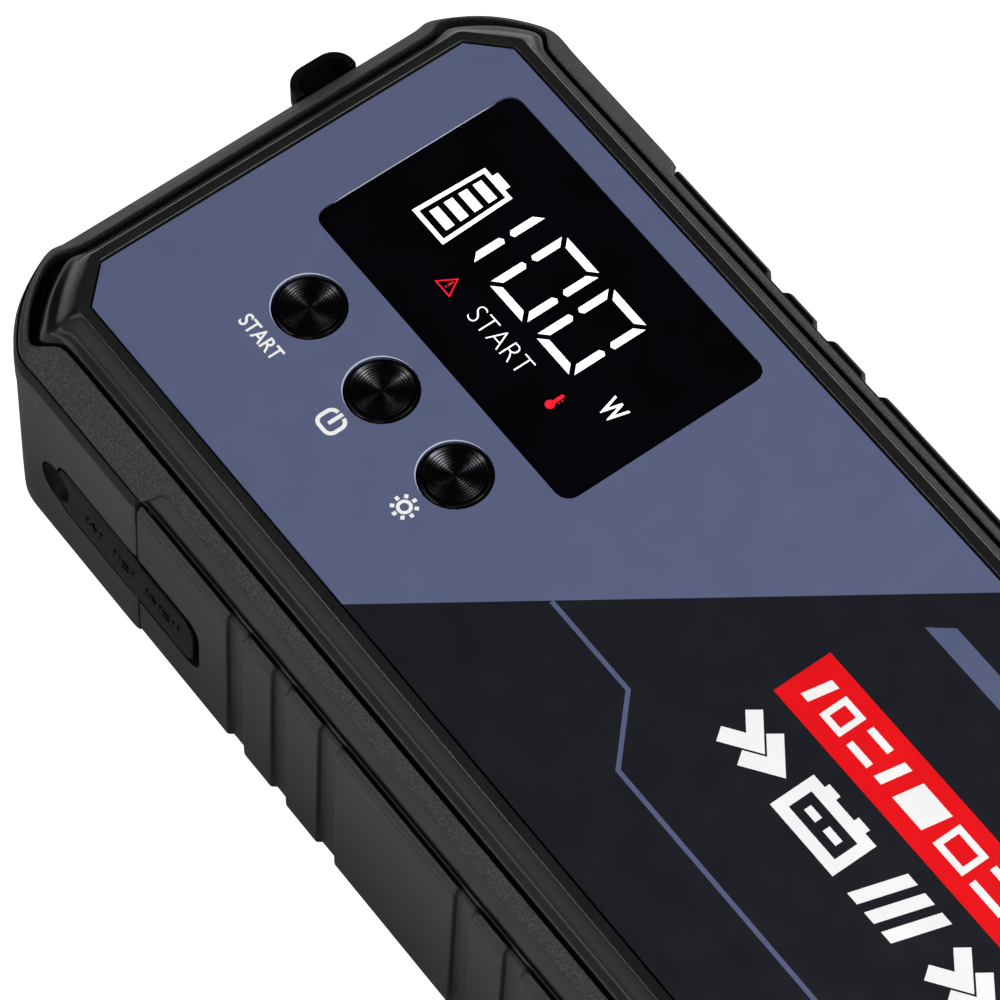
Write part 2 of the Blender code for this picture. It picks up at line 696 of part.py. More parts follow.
def make_usb_ports():
    frame = block("port_frame", PORT_FRAME_X, PORT_FRAME_Y, PORT_FRAME_Z, "casing_black")
    through = (PORT_FRAME_Y[0] - 1 * MM, PORT_FRAME_Y[1] + 1 * MM)
    cut(
        frame,
        port_block("usb_a_hole", USB_A_X, 13.2 * MM + 2 * GAP, 5.8 * MM + 2 * GAP, through),
        port_block("usb_c_hole", USB_C_X, 9.0 * MM + 2 * GAP, 3.4 * MM + 2 * GAP, through),
    )
    mouth = PORT_FRAME_Y[0]
    sizes = (("usb_a_port", USB_A_X, 13.2, 5.8, 13.5, 1.8), ("usb_c_port", USB_C_X, 9.0, 3.4, 9.5, 0.8))
    for name, x, width, height, length, tongue in sizes:
        wall = 0.4
        port = port_block(name, x, width * MM, height * MM, (mouth, mouth + length * MM), "steel")
        hollow = port_block(
            f"{name}_hollow",
            x,
            (width - 2 * wall) * MM,
            (height - 2 * wall) * MM,
            (mouth - 1 * MM, mouth + (length - 3) * MM),
        )
        cut(port, hollow)
        blade = port_block(
            f"{name}_blade",
            x,
            (width - 2.4) * MM,
            tongue * MM,
            (mouth + 1.6 * MM, mouth + (length - 2) * MM),
        )
        join(port, blade)
    board_top = PORT_Z - 2.9 * MM - GAP
    block(
        "usb_board",
        (-110 * MM, -74 * MM),
        (-42.2 * MM, -24 * MM),
        (board_top - BOARD_THICK, board_top),
        "board_green",
    )


def make_usb_cover():
    """Rubber flap, its outer face in the wall's plane and its origin on its hinge line."""
    inner, outer = FLAP_X
    middle = (FLAP_DEPTH[0] + FLAP_DEPTH[1]) / 2
    half = (FLAP_DEPTH[1] - FLAP_DEPTH[0]) / 2
    outline = rounded_rectangle((inner, outer), (-half, half), FLAP_CORNER)
    slope = Vector((0, WALL_DRAFT, 1)).normalized()
    outward = Vector((0, -1, WALL_DRAFT)).normalized()
    centre = Vector((0, -wall_side(middle), level(middle)))
    points = [centre + Vector((x, 0, 0)) + slope * v for x, v in outline]
    flap = prism("usb_cover", points, (0, 0, 0), -outward * FLAP_THICK, "rubber_black")
    lobe_x = inner + 4.6 * MM
    lobe = rod(
        "finger_lobe",
        4.4 * MM,
        centre + Vector((lobe_x, 0, 0)) - slope * 0.6 * MM - outward * 1.0 * MM,
        centre + Vector((lobe_x, 0, 0)) - slope * 0.6 * MM + outward * 1.3 * MM,
        sides=24,
        end_radius=3.9 * MM,
    )
    scoop = rod(
        "finger_scoop",
        4.0 * MM,
        centre + Vector((lobe_x + 0.6 * MM, 0, 0)) + slope * 2.6 * MM - outward * 0.8 * MM,
        centre + Vector((lobe_x + 0.6 * MM, 0, 0)) + slope * 3.4 * MM + outward * 2.6 * MM,
        sides=24,
    )
    join(flap, lobe)
    cut(flap, scoop)
    plug_start = PORT_FRAME_Y[0] - 2.2 * MM
    plug_end = PORT_FRAME_Y[0] + 0.9 * MM
    join(
        flap,
        port_block("usb_a_plug", USB_A_X, 11.0 * MM, 3.8 * MM, (plug_start, plug_end)),
        port_block("usb_c_plug", USB_C_X, 7.0 * MM, 1.7 * MM, (plug_start, plug_end)),
    )
    set_origin(flap, (outer, centre.y, centre.z))
    return flap


# ---------------------------------------------------------------- output socket and its cover

COVER_Y = (SOCKET_Y - COVER_WIDTH / 2, SOCKET_Y + COVER_WIDTH / 2)
SOCKET_SIZE = (24.0 * MM, 13.0 * MM)
SOCKET_SPAN_Y = (SOCKET_Y - SOCKET_SIZE[0] / 2, SOCKET_Y + SOCKET_SIZE[0] / 2)
SOCKET_Z = (level(SOCKET_DEPTH) - SOCKET_SIZE[1] / 2, level(SOCKET_DEPTH) + SOCKET_SIZE[1] / 2)
SOCKET_X = (-(wall_end(COVER_DEPTH[0]) - COVER_THICK - 0.8 * MM), -108 * MM)
CONTACT_SPREAD = 5.6 * MM


def make_output_socket():
    housing = block("output_socket", SOCKET_X, SOCKET_SPAN_Y, SOCKET_Z, "socket_blue")
    mouth_depth = 12 * MM
    mouth = block(
        "socket_mouth",
        (SOCKET_X[0] - 1 * MM, SOCKET_X[0] + mouth_depth),
        grown(SOCKET_SPAN_Y, -1.3 * MM),
        grown(SOCKET_Z, -1.4 * MM),
    )
    cut(housing, mouth)
    for side, sign in (("positive", 1), ("negative", -1)):
        y = SOCKET_Y + sign * CONTACT_SPREAD
        z = level(SOCKET_DEPTH)
        bore = rod(f"{side}_bore", 2.9 * MM, (-125 * MM, y, z), (-100 * MM, y, z), sides=20)
        cut(housing, bore)
        contact = rod(
            f"socket_contact_{side}", 2.5 * MM, (SOCKET_X[0] + 3.2 * MM, y, z), (-105 * MM, y, z), "brass", 20
        )
        hollow = rod(
            f"{side}_hollow", 1.7 * MM, (SOCKET_X[0], y, z), (SOCKET_X[0] + 10 * MM, y, z), sides=16
        )
        cut(contact, hollow)


def tab_outline(root, inset):
    """Plan of the pull tab from its root to its rounded tip, drawn in by an inset."""
    half = TAB_WIDTH / 2 - inset
    radius = TAB_CORNER - inset
    span_x = (-wall_end(TAB_DEPTH[1]) - TAB_REACH + inset, root + 2 * radius)
    outline = rounded_rectangle(span_x, (TAB_Y - half, TAB_Y + half), radius, steps=6)
    rounded = [(x, y) for x, y in outline if x < root]
    return [(root, TAB_Y + half), *rounded, (root, TAB_Y - half)]


def make_socket_cover():
    """Rubber cover in the end wall's recess, its origin on the hinge line along its foot."""
    top_x = -wall_end(COVER_DEPTH[0])
    foot_x = -wall_end(COVER_DEPTH[1])
    flat = top_x + COVER_THICK
    z_foot, z_top = heights(COVER_DEPTH)
    points = [(x, COVER_Y[0], z) for x, z in ((top_x, z_top), (foot_x, z_foot), (flat, z_foot), (flat, z_top))]
    cover = prism("socket_cover", points, (0, 0, 0), (0, COVER_WIDTH, 0), "rubber_black")
    root = top_x - 2 * GAP
    height = TAB_DEPTH[1] - TAB_DEPTH[0]
    tab = flat_prism("pull_tab", tab_outline(root, 0), TAB_DEPTH[0], height)
    dish = flat_prism("tab_dish", tab_outline(root + 3 * GAP, TAB_RIM), TAB_DEPTH[0] - 1 * MM, height)
    neck = block(
        "tab_neck",
        (root - 0.5 * MM, flat - 0.5 * MM),
        (TAB_Y - TAB_WIDTH / 2, TAB_Y + TAB_WIDTH / 2),
        heights((COVER_DEPTH[0] + 2 * GAP, TAB_DEPTH[1])),
    )
    plug = block(
        "socket_plug",
        (flat - 1 * MM, SOCKET_X[0] + 1.3 * MM),
        grown(SOCKET_SPAN_Y, -1.9 * MM),
        grown(SOCKET_Z, -2.6 * MM),
    )
    cut(tab, dish)
    join(cover, tab, neck, plug)
    set_origin(cover, (foot_x, SOCKET_Y, z_foot))
    return cover


# ---------------------------------------------------------------- electronics, battery and lamp


def wire(name, points, radius, material):
    """A round wire along a smooth curve through a few points."""
    curve = bpy.data.curves.new(name, "CURVE")
    curve.dimensions = "3D"
    curve.bevel_depth = radius
    curve.bevel_resolution = 2
    curve.use_fill_caps = True
    spline = curve.splines.new("POLY")
    smooth = catmull_rom([Vector(point) for point in points], 5)
    spline.points.add(len(smooth) - 1)
    for place, point in zip(spline.points, smooth):
        place.co = (*point, 1.0)
    curve.materials.append(make_material(name, *MATERIALS[material]))
    PARTS.objects.link(bpy.data.objects.new(name, curve))


def catmull_rom(points, steps):
    """Points along the smooth curve through the given ones."""
    padded = [points[0] * 2 - points[1], *points, points[-1] * 2 - points[-2]]
    smooth = []
    for a, b, c, d in zip(padded, padded[1:], padded[2:], padded[3:]):
        for step in range(steps):
            t = step / steps
            smooth.append(
                0.5 * (2 * b + (c - a) * t + (2 * a - 5 * b + 4 * c - d) * t**2 + (3 * b - a - 3 * c + d) * t**3)
            )
    smooth.append(points[-1])
    return smooth


def make_power_parts():
    board_z = (7.0 * MM, 7.0 * MM + BOARD_THICK)
    block("main_board", (-104 * MM, -46 * MM), (-21 * MM, 30 * MM), board_z, "board_green")
    above = board_z[1] + GAP
    block("power_relay", (-70 * MM, -52 * MM), (4 * MM, 26 * MM), (above, above + 15 * MM), "casing_black", 0.6 * MM)
    sink = block("heat_sink", (-72 * MM, -50 * MM), (-18 * MM, -2 * MM), (above, above + 12 * MM), "aluminium")
    fin_pitch = 3.2 * MM
    for index in range(5):
        y = -16.2 * MM + index * fin_pitch
        slot = block(f"fin_gap_{index}", (-80 * MM, -40 * MM), (y, y + 1.6 * MM), (above + 2 * MM, 40 * MM))
        cut(sink, slot)
    socket_z = level(SOCKET_DEPTH)
    lead_radius = 2.3 * MM
    for side, sign, colour in (("red", 1, "wire_red"), ("black", -1, "wire_black")):
        y = SOCKET_Y + sign * CONTACT_SPREAD
        end_y = 15 * MM + sign * 4.5 * MM
        points = [
            (-104.6 * MM, y, socket_z),
            (-100 * MM, y, socket_z),
            (-92 * MM, y - sign * 0.5 * MM, socket_z - 0.5 * MM),
            (-82 * MM, end_y, 19 * MM),
            (-75 * MM, end_y, 18 * MM),
            (-70.4 * MM, end_y, 18 * MM),
        ]
        wire(f"power_lead_{side}", points, lead_radius, colour)
    ribbon_x = (-49 * MM, -45.5 * MM)
    ribbon_top = level(BOARD_DEPTH + BOARD_THICK) - GAP
    block("ribbon_cable", ribbon_x, (-12 * MM, 2 * MM), (above, ribbon_top), "foam_grey")


def make_battery():
    half = CELL_WIDTH / 2
    floor = FLOOR_THICK + GAP
    pitch = CELL_THICK + GAP
    stack_bottom = floor + TRAY_WALL + GAP
    stack_top = stack_bottom + CELL_COUNT * pitch
    tray_x = grown(CELL_X, GAP + TRAY_WALL)
    tray = block("cell_tray", tray_x, (-half - GAP - TRAY_WALL, half + GAP + TRAY_WALL), (floor, stack_top), "casing_black")
    inside = block("tray_inside", grown(CELL_X, GAP), (-half - GAP, half + GAP), (floor + TRAY_WALL, 60 * MM))
    cut(tray, inside)
    for index in range(CELL_COUNT):
        z = stack_bottom + index * pitch
        block(f"battery_cell_{index + 1}", CELL_X, (-half, half), (z, z + CELL_THICK), "cell_wrap", 1.0 * MM)
    pad_top = level(DECK_DEPTH + DECK_THICK) - GAP
    block("foam_pad", (-36 * MM, 98 * MM), (-half, half), (stack_top + GAP, pad_top), "foam_grey")
    board_x = tray_x[0] - GAP
    block("balance_board", (board_x - 1.2 * MM, board_x), (-26 * MM, 26 * MM), (10 * MM, 28 * MM), "board_green")


def make_lamp():
    half = LAMP_WIDTH / 2
    lens_inner = wall_end(LAMP_DEPTH[0]) - 2.3 * MM
    face_top, face_low = wall_end(LAMP_DEPTH[0]), wall_end(LAMP_DEPTH[1])
    z_low, z_high = heights(LAMP_DEPTH)
    section = [
        (lens_inner, -half, z_low),
        (face_low - 0.3 * MM, -half, z_low),
        (face_top - 0.3 * MM, -half, z_high),
        (lens_inner, -half, z_high),
    ]
    prism("lamp_lens", section, (0, 0, 0), (0, LAMP_WIDTH, 0), "lens_clear")
    reflector_x = (118 * MM, wall_end(LAMP_DEPTH[0]) - 2.6 * MM - GAP)
    inset = 1.5 * MM + GAP
    reflector = block(
        "lamp_reflector", reflector_x, (-half + inset, half - inset), (z_low + inset, z_high - inset), "aluminium"
    )
    middle = (z_low + z_high) / 2
    for index, y in enumerate((-11 * MM, 11 * MM)):
        cup = rod(
            f"cup_{index}", 2.4 * MM, (reflector_x[0] - 1 * MM, y, middle), (reflector_x[1] + 0.5 * MM, y, middle),
            sides=24, end_radius=5.1 * MM,
        )
        cut(reflector, cup)
        block(
            f"lamp_led_{index + 1}",
            (117.5 * MM, 118.6 * MM),
            (y - 1.5 * MM, y + 1.5 * MM),
            (middle - 1.5 * MM, middle + 1.5 * MM),
            "led_yellow",
        )
    board_x = (117.5 * MM - GAP - BOARD_THICK, 117.5 * MM - GAP)
    block("lamp_board", board_x, (-half, half), grown((z_low, z_high), 1 * MM), "board_green")


def main():
    make_upper_shell()
    make_bottom_cover()
    make_screws()
    make_front_bezel()
    make_seal_gasket()
    make_side_grip("side_grip_front", -1)
    make_side_grip("side_grip_rear", 1)
    make_face()
    for name, x in BUTTON_X.items():
        make_button(name, x)
    make_control_board()
    make_usb_ports()
    make_usb_cover()
    make_output_socket()
    make_socket_cover()
    make_power_parts()
    make_battery()
    make_lamp()


main()
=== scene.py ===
"""Looks of the jump starter pack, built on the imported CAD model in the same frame, in metres."""

import json
import math

import bmesh
import bpy
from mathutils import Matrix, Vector


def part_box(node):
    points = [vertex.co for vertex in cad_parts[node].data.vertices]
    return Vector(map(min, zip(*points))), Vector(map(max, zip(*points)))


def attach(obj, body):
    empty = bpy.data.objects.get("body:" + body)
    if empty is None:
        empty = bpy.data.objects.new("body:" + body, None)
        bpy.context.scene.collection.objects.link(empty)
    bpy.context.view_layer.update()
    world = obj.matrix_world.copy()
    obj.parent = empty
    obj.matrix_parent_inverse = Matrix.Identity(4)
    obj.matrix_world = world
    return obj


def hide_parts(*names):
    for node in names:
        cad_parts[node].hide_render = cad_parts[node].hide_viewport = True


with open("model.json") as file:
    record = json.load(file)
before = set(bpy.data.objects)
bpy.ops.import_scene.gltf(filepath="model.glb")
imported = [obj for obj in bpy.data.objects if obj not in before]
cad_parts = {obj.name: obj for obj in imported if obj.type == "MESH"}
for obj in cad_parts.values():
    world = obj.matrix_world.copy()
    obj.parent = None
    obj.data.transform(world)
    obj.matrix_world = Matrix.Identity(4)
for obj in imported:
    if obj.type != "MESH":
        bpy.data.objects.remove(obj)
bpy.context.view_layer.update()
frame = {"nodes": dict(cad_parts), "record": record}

MM = 0.001
GAP = 0.3 * MM
PANEL_END, PANEL_SIDE, PANEL_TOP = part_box("face_panel")[1]
SEAM_X = 88.5 * MM  # where the side grips end
WALL_OFFSET = 11.15 * MM  # from the panel's edge to the top edge of the walls
WALL_TOP = 12 * MM  # the depth of that edge
WALL_SLOPE = 0.045
END_EXTRA = 0.65 * MM  # the end walls stand further out than the side walls
GUARD_PROUD = 0.6 * MM  # the armour of the corners stands proud of the end walls
SHOULDER_WAY = (0.72, 0.69)  # the way in which it swells
CORNER_STEPS = 6
BUTTONS = ("start_button", "power_button", "light_button")
BUTTON_RADIUS = 5.25 * MM
HOLE_RADIUS = 5.57 * MM
X, Y, Z = range(3)


# ---- places


def level(depth):
    """Height of a point this far below the face panel's top."""
    return PANEL_TOP - depth


def wall_growth(depth):
    """How far the leaning walls stand out at a depth, past their top edge."""
    return WALL_SLOPE * (depth - WALL_TOP)


def wall_side(depth):
    return PANEL_SIDE + WALL_OFFSET + wall_growth(depth)


def wall_end(depth):
    return PANEL_END + WALL_OFFSET + END_EXTRA + wall_growth(depth)


def from_panel(x, y):
    """X and Y of a place given in millimetres from the panel's display end and middle line."""
    return (x * MM - PANEL_END, y * MM)


# ---- materials

# The Mix node's colour sockets: its number and vector sockets come before them.
COLOUR_A, COLOUR_B, COLOUR_RESULT = 6, 7, 2


class Shader:
    """A material's node tree, with the few calls that build procedural finishes."""

    def __init__(self, name, base, roughness, metallic=0.0, **sockets):
        self.material = bpy.data.materials.new(name)
        self.material.use_nodes = True
        self.tree = self.material.node_tree
        self.bsdf = self.tree.nodes["Principled BSDF"]
        self.bsdf.inputs["Base Color"].default_value = (*base, 1.0)
        self.bsdf.inputs["Roughness"].default_value = roughness
        self.bsdf.inputs["Metallic"].default_value = metallic
        for socket, value in sockets.items():
            self.bsdf.inputs[socket.replace("_", " ")].default_value = value
        self.material.diffuse_color = (*base, 1.0)
        self.base = base
        self.roughness = roughness
        self.coordinates = self.node("ShaderNodeTexCoord").outputs["Object"]
        self.height = None

    def node(self, kind, **settings):
        made = self.tree.nodes.new(kind)
        for key, value in settings.items():
            setattr(made, key, value)
        return made

    def link(self, output, target):
        self.tree.links.new(output, target)

    def noise(self, scale, detail=2.0, stretch=None, rough=0.5):
        texture = self.node("ShaderNodeTexNoise")
        texture.inputs["Scale"].default_value = scale
        texture.inputs["Detail"].default_value = detail
        texture.inputs["Roughness"].default_value = rough
        source = self.coordinates
        if stretch:
            mapping = self.node("ShaderNodeMapping")
            mapping.inputs["Scale"].default_value = stretch
            self.link(source, mapping.inputs["Vector"])
            source = mapping.outputs["Vector"]
        self.link(source, texture.inputs["Vector"])
        return texture.outputs["Fac"]

    def cells(self, scale):
        texture = self.node("ShaderNodeTexVoronoi")
        texture.inputs["Scale"].default_value = scale
        self.link(self.coordinates, texture.inputs["Vector"])
        return texture.outputs["Distance"]

    def ramp(self, fac, low, high, first, last):
        """Colours from first to last as fac goes from low to high."""
        ramp = self.node("ShaderNodeValToRGB")
        for element, position, tone in zip(ramp.color_ramp.elements, (low, high), (first, last)):
            element.position = position
            element.color = (*tone, 1.0)
        self.link(fac, ramp.inputs["Fac"])
        return ramp.outputs["Color"]

    def spread(self, fac, low, high, first, last):
        """A number from first to last as fac goes from low to high."""
        span = self.node("ShaderNodeMapRange")
        for socket, value in (("From Min", low), ("From Max", high), ("To Min", first), ("To Max", last)):
            span.inputs[socket].default_value = value
        self.link(fac, span.inputs["Value"])
        return span.outputs["Result"]

    def mix(self, fac, first, second):
        """The first colour where fac is 0, the second where it is 1."""
        mixer = self.node("ShaderNodeMix", data_type="RGBA")
        self.link(fac, mixer.inputs["Factor"])
        for value, index in ((first, COLOUR_A), (second, COLOUR_B)):
            if isinstance(value, tuple):
                mixer.inputs[index].default_value = (*value, 1.0)
            else:
                self.link(value, mixer.inputs[index])
        return mixer.outputs[COLOUR_RESULT]

    def bump(self, fac, distance, strength=1.0):
        """Adds a height to the surface, on top of the ones before it."""
        bump = self.node("ShaderNodeBump")
        bump.inputs["Distance"].default_value = distance
        bump.inputs["Strength"].default_value = strength
        self.link(fac, bump.inputs["Height"])
        if self.height is not None:
            self.link(self.height, bump.inputs["Normal"])
        self.height = bump.outputs["Normal"]
        self.link(self.height, self.bsdf.inputs["Normal"])

    def colour(self, output):
        self.link(output, self.bsdf.inputs["Base Color"])

    def rough(self, output):
        self.link(output, self.bsdf.inputs["Roughness"])

    def mottle(self, scale, amount, spread):
        """Slow variation of colour and roughness over the surface."""
        cloud = self.noise(scale, 3.0)
        low = tuple(c * (1 - amount) for c in self.base)
        high = tuple(c * (1 + amount) for c in self.base)
        self.colour(self.ramp(cloud, 0.3, 0.7, low, high))
        self.rough(self.spread(cloud, 0.3, 0.7, self.roughness - spread, self.roughness + spread))


def moulded(name, base, roughness, grain, height, painted_glints=0.0, **sockets):
    """Spark-eroded moulded plastic: fine cells in the surface, and where asked a few bright points painted
    into the colour as glints, a painted highlight.
    """
    shader = Shader(name, base, roughness, **sockets)
    shader.mottle(55.0, 0.12, 0.04)
    shader.bump(shader.cells(grain), height, 0.9)
    shader.bump(shader.noise(grain * 0.45, 3.0), height * 1.4, 0.8)
    if painted_glints:
        dark = tuple(c * (1 - painted_glints * 0.3) for c in base)
        bright = tuple(min(1.0, c * (1 + painted_glints * 3)) for c in base)
        points = shader.noise(grain * 0.62, 2.0, None, 0.65)
        shader.colour(shader.ramp(points, 0.44, 0.72, dark, bright))
    return shader.material


def metal(name, base, roughness, scale=900.0, height=0.004 * MM, stretch=(1, 1, 1)):
    shader = Shader(name, base, roughness, 1.0)
    shader.mottle(120.0, 0.10, 0.06)
    shader.bump(shader.noise(scale, 2.0, stretch), height)
    return shader.material


def polished(name, base, roughness, mottle, bump, metallic=0.0, **sockets):
    """A smooth finish with a mottle (scale, amount, spread) and a bump (scale, detail, height, strength)."""
    shader = Shader(name, base, roughness, metallic, **sockets)
    shader.mottle(*mottle)
    scale, detail, height, strength = bump
    shader.bump(shader.noise(scale, detail), height, strength)
    return shader.material


def printed(name, base, roughness, **sockets):
    """Screen-printed ink on film: a hardly visible mottle and orange peel."""
    mottle, bump = (160.0, 0.035, 0.03), (1500.0, 2.0, 0.004 * MM, 0.5)
    return polished(name, base, roughness, mottle, bump, **sockets)


def gloss(name, base):
    """The bezel's glossy plastic, with a thin clear coat."""
    return polished(
        name, base, 0.30, (90.0, 0.15, 0.05), (2600.0, 2.0, 0.004 * MM, 0.7),
        Specular_IOR_Level=0.21, Coat_Weight=0.20, Coat_Roughness=0.08,
    )


def lit(name, base, strength):
    shader = Shader(name, base, 0.4)
    shader.bsdf.inputs["Emission Color"].default_value = (*base, 1.0)
    shader.bsdf.inputs["Emission Strength"].default_value = strength
    shader.mottle(300.0, 0.03, 0.02)
    return shader.material


def board_material():
    shader = Shader("board_green", (0.015, 0.085, 0.035), 0.42, Coat_Weight=0.4)
    tracks = shader.node("ShaderNodeTexBrick")
    tracks.inputs["Scale"].default_value = 260.0
    tracks.inputs["Color1"].default_value = (0.012, 0.075, 0.030, 1.0)
    tracks.inputs["Color2"].default_value = (0.020, 0.110, 0.045, 1.0)
    tracks.inputs["Mortar"].default_value = (0.030, 0.150, 0.060, 1.0)
    shader.link(shader.coordinates, tracks.inputs["Vector"])
    shader.colour(tracks.outputs["Color"])
    shader.bump(tracks.outputs["Fac"], 0.01 * MM)
    return shader.material


def wave_material(name, base, roughness, scale, direction, height):
    """A finish with fine parallel lines, as on a ribbon cable or a drawn foil."""
    shader = Shader(name, base, roughness)
    lines = shader.node("ShaderNodeTexWave", bands_direction=direction)
    lines.inputs["Scale"].default_value = scale
    shader.link(shader.coordinates, lines.inputs["Vector"])
    shader.bump(lines.outputs["Fac"], height)
    # The colour darkens to 0.8 of the base in the grooves of the lines: painted shade.
    shader.colour(shader.ramp(lines.outputs["Fac"], 0.2, 0.8, tuple(c * 0.8 for c in base), base))
    return shader.material


def panel_material():
    """Printed film: blue-grey towards the display, near-black navy beyond a slanted line."""
    shader = Shader("panel_print", (0.100, 0.112, 0.192), 0.42)
    first, last = from_panel(65.75, -37.25), from_panel(116.9, 34.4)
    across = Vector((last[1] - first[1], first[0] - last[0])).normalized()
    split = shader.node("ShaderNodeVectorMath", operation="DOT_PRODUCT")
    shader.link(shader.coordinates, split.inputs[0])
    split.inputs[1].default_value = (across.x, across.y, 0.0)
    start = across.dot(Vector(first))
    beyond = shader.spread(split.outputs["Value"], start - 0.02 * MM, start + 0.02 * MM, 0.0, 1.0)
    cloud = shader.noise(160.0, 3.0)
    light = shader.ramp(cloud, 0.3, 0.7, (0.112, 0.133, 0.243), (0.118, 0.140, 0.255))
    dark = shader.ramp(cloud, 0.3, 0.7, (0.0075, 0.0077, 0.0140), (0.0082, 0.0084, 0.0152))
    shader.colour(shader.mix(beyond, light, dark))
    shader.rough(shader.spread(cloud, 0.3, 0.7, 0.39, 0.45))
    shader.bump(shader.noise(1500.0, 2.0), 0.004 * MM, 0.5)
    return shader.material


def film_edge_painted_glint_material():
    """The film's cut edge, with a painted highlight: its colour turns from near-black to near-white where it
    faces the far end of the pack.
    """
    shader = Shader("film_edge_painted_glint", (0.16, 0.18, 0.30), 0.34, Specular_IOR_Level=0.8)
    sideways = shader.node("ShaderNodeSeparateXYZ")
    shader.link(shader.node("ShaderNodeNewGeometry").outputs["Normal"], sideways.inputs[0])
    # Painted highlight: the colour goes near-white as the edge's normal turns towards +X.
    painted_glint_mask = shader.spread(sideways.outputs["X"], 0.25, 0.5, 0.0, 1.0)
    shader.colour(shader.mix(painted_glint_mask, (0.02, 0.022, 0.05), (0.85, 0.88, 1.0)))
    shader.rough(shader.spread(shader.noise(400.0, 2.0), 0.3, 0.7, 0.30, 0.38))
    shader.bump(shader.noise(3000.0, 2.0), 0.003 * MM, 0.5)
    return shader.material


def clear_material():
    shader = Shader("lens_clear", (0.92, 0.95, 0.97), 0.06, Transmission_Weight=1.0, IOR=1.49)
    shader.bump(shader.noise(900.0, 2.0), 0.004 * MM, 0.6)
    shader.rough(shader.spread(shader.noise(150.0), 0.3, 0.7, 0.04, 0.10))
    return shader.material


def grained(name, base, roughness, grain, height, specular, painted_glints=0.0):
    """A moulded finish of the casing; the grain's height is in millimetres."""
    return moulded(name, base, roughness, grain, height * MM, painted_glints, Specular_IOR_Level=specular)


# The band's last number paints bright points into its colour: painted glints of the grain.
BAND_GRAIN = grained("band_grain", (0.020, 0.0195, 0.020), 0.50, 5200.0, 0.034, 0.40, 0.9)
WALL = grained("casing_wall", (0.0155, 0.0145, 0.0150), 0.44, 9000.0, 0.007, 0.32)
# A lighter copy of the casing's black for the smooth strip: painted light.
STRIP_LIGHTENED = grained("band_strip_painted_light", (0.030, 0.0290, 0.0295), 0.46, 9000.0, 0.006, 0.40)
# A near-black copy for the steps and creases of the casing and the grips: painted shade.
CREASE_SHADE = grained("painted_crease_shade", (0.0040, 0.0037, 0.0039), 0.48, 9000.0, 0.006, 0.10)
# A lighter copy of the grip's rubber for the ribs' top chamfers: painted highlight.
GRIP_CHAMFER_LIGHTENED = grained("grip_chamfer_painted_light", (0.024, 0.023, 0.0235), 0.42, 8000.0, 0.006, 0.34)
GRIP = grained("grip_rubber", (0.0125, 0.0120, 0.0123), 0.46, 8000.0, 0.008, 0.26)
RUBBER = grained("cover_rubber", (0.0036, 0.0036, 0.0036), 0.50, 7000.0, 0.010, 0.08)
INNER = moulded("inner_plastic", (0.016, 0.016, 0.017), 0.6, 4000.0, 0.01 * MM)
BEZEL = gloss("bezel_gloss", (0.0058, 0.0056, 0.0060))
# A lighter copy of the bezel's gloss for its level lip: painted light.
BEZEL_LIP_LIGHTENED = gloss("bezel_lip_painted_light", (0.0150, 0.0146, 0.0150))
PANEL = panel_material()
FILM_EDGE_PAINTED_GLINT = film_edge_painted_glint_material()
# Pale ink for the painted highlights on the film's cut edges.
PAINTED_EDGE_GLINT = printed("film_painted_glint", (0.62, 0.65, 0.78), 0.3)
# The white ink has a painted glow: its emission of 0.12 makes it brighter than the lamps alone light it.
WHITE_GLOWING = printed("ink_white_glowing", (0.90, 0.90, 0.90), 0.5, Emission_Strength=0.12)
RED = printed("ink_red", (0.90, 0.006, 0.010), 0.5, Specular_IOR_Level=0.15)
LINE_BLUE = printed("ink_blue", (0.105, 0.125, 0.235), 0.42)
LIT_WHITE = lit("lit_white", (1.0, 1.0, 1.0), 0.95)
LIT_RED = lit("lit_red", (0.85, 0.010, 0.028), 0.42)
WINDOW = polished(
    "display_glass", (0.0012, 0.0011, 0.0024), 0.10, (70.0, 0.5, 0.03), (300.0, 1.0, 0.002 * MM, 0.4),
    Specular_IOR_Level=0.30,
)
BUTTON = polished(
    "button_anodised", (0.034, 0.034, 0.038), 0.21, (500.0, 0.12, 0.05), (6000.0, 2.0, 0.002 * MM, 0.5), 1.0
)

FINISHES = {
    "casing_black": INNER,
    "bezel_gloss": BEZEL,
    "rubber_black": RUBBER,
    "panel_print": PANEL,
    "display_glass": WINDOW,
    "button_metal": BUTTON,
    "board_green": board_material(),
    "steel": metal("steel", (0.55, 0.56, 0.58), 0.30, 1400.0, 0.006 * MM, (1, 12, 1)),
    "brass": metal("brass", (0.72, 0.52, 0.22), 0.28),
    "aluminium": metal("aluminium", (0.62, 0.63, 0.65), 0.34, 1400.0, 0.008 * MM, (12, 1, 1)),
    "cell_wrap": metal("cell_wrap", (0.30, 0.34, 0.38), 0.38, 300.0, 0.04 * MM),
    "socket_blue": moulded("socket_blue", (0.015, 0.060, 0.290), 0.42, 5000.0, 0.008 * MM),
    "wire_red": moulded("wire_red", (0.400, 0.016, 0.012), 0.45, 3000.0, 0.006 * MM),
    "wire_black": moulded("wire_black", (0.014, 0.014, 0.014), 0.45, 3000.0, 0.006 * MM),
    "foam_grey": wave_material("foam_grey", (0.16, 0.16, 0.17), 0.9, 240.0, "Y", 0.1 * MM),
    "lens_clear": clear_material(),
    "led_yellow": lit("led_yellow", (0.90, 0.78, 0.30), 0.15),
}


# ---- modelling helpers


def linked(name, data):
    obj = bpy.data.objects.new(name, data)
    bpy.context.scene.collection.objects.link(obj)
    return obj


def new_object(name, bm, *materials):
    mesh = bpy.data.meshes.new(name)
    bm.to_mesh(mesh)
    bm.free()
    obj = linked(name, mesh)
    for material in materials:
        mesh.materials.append(material)
    return obj


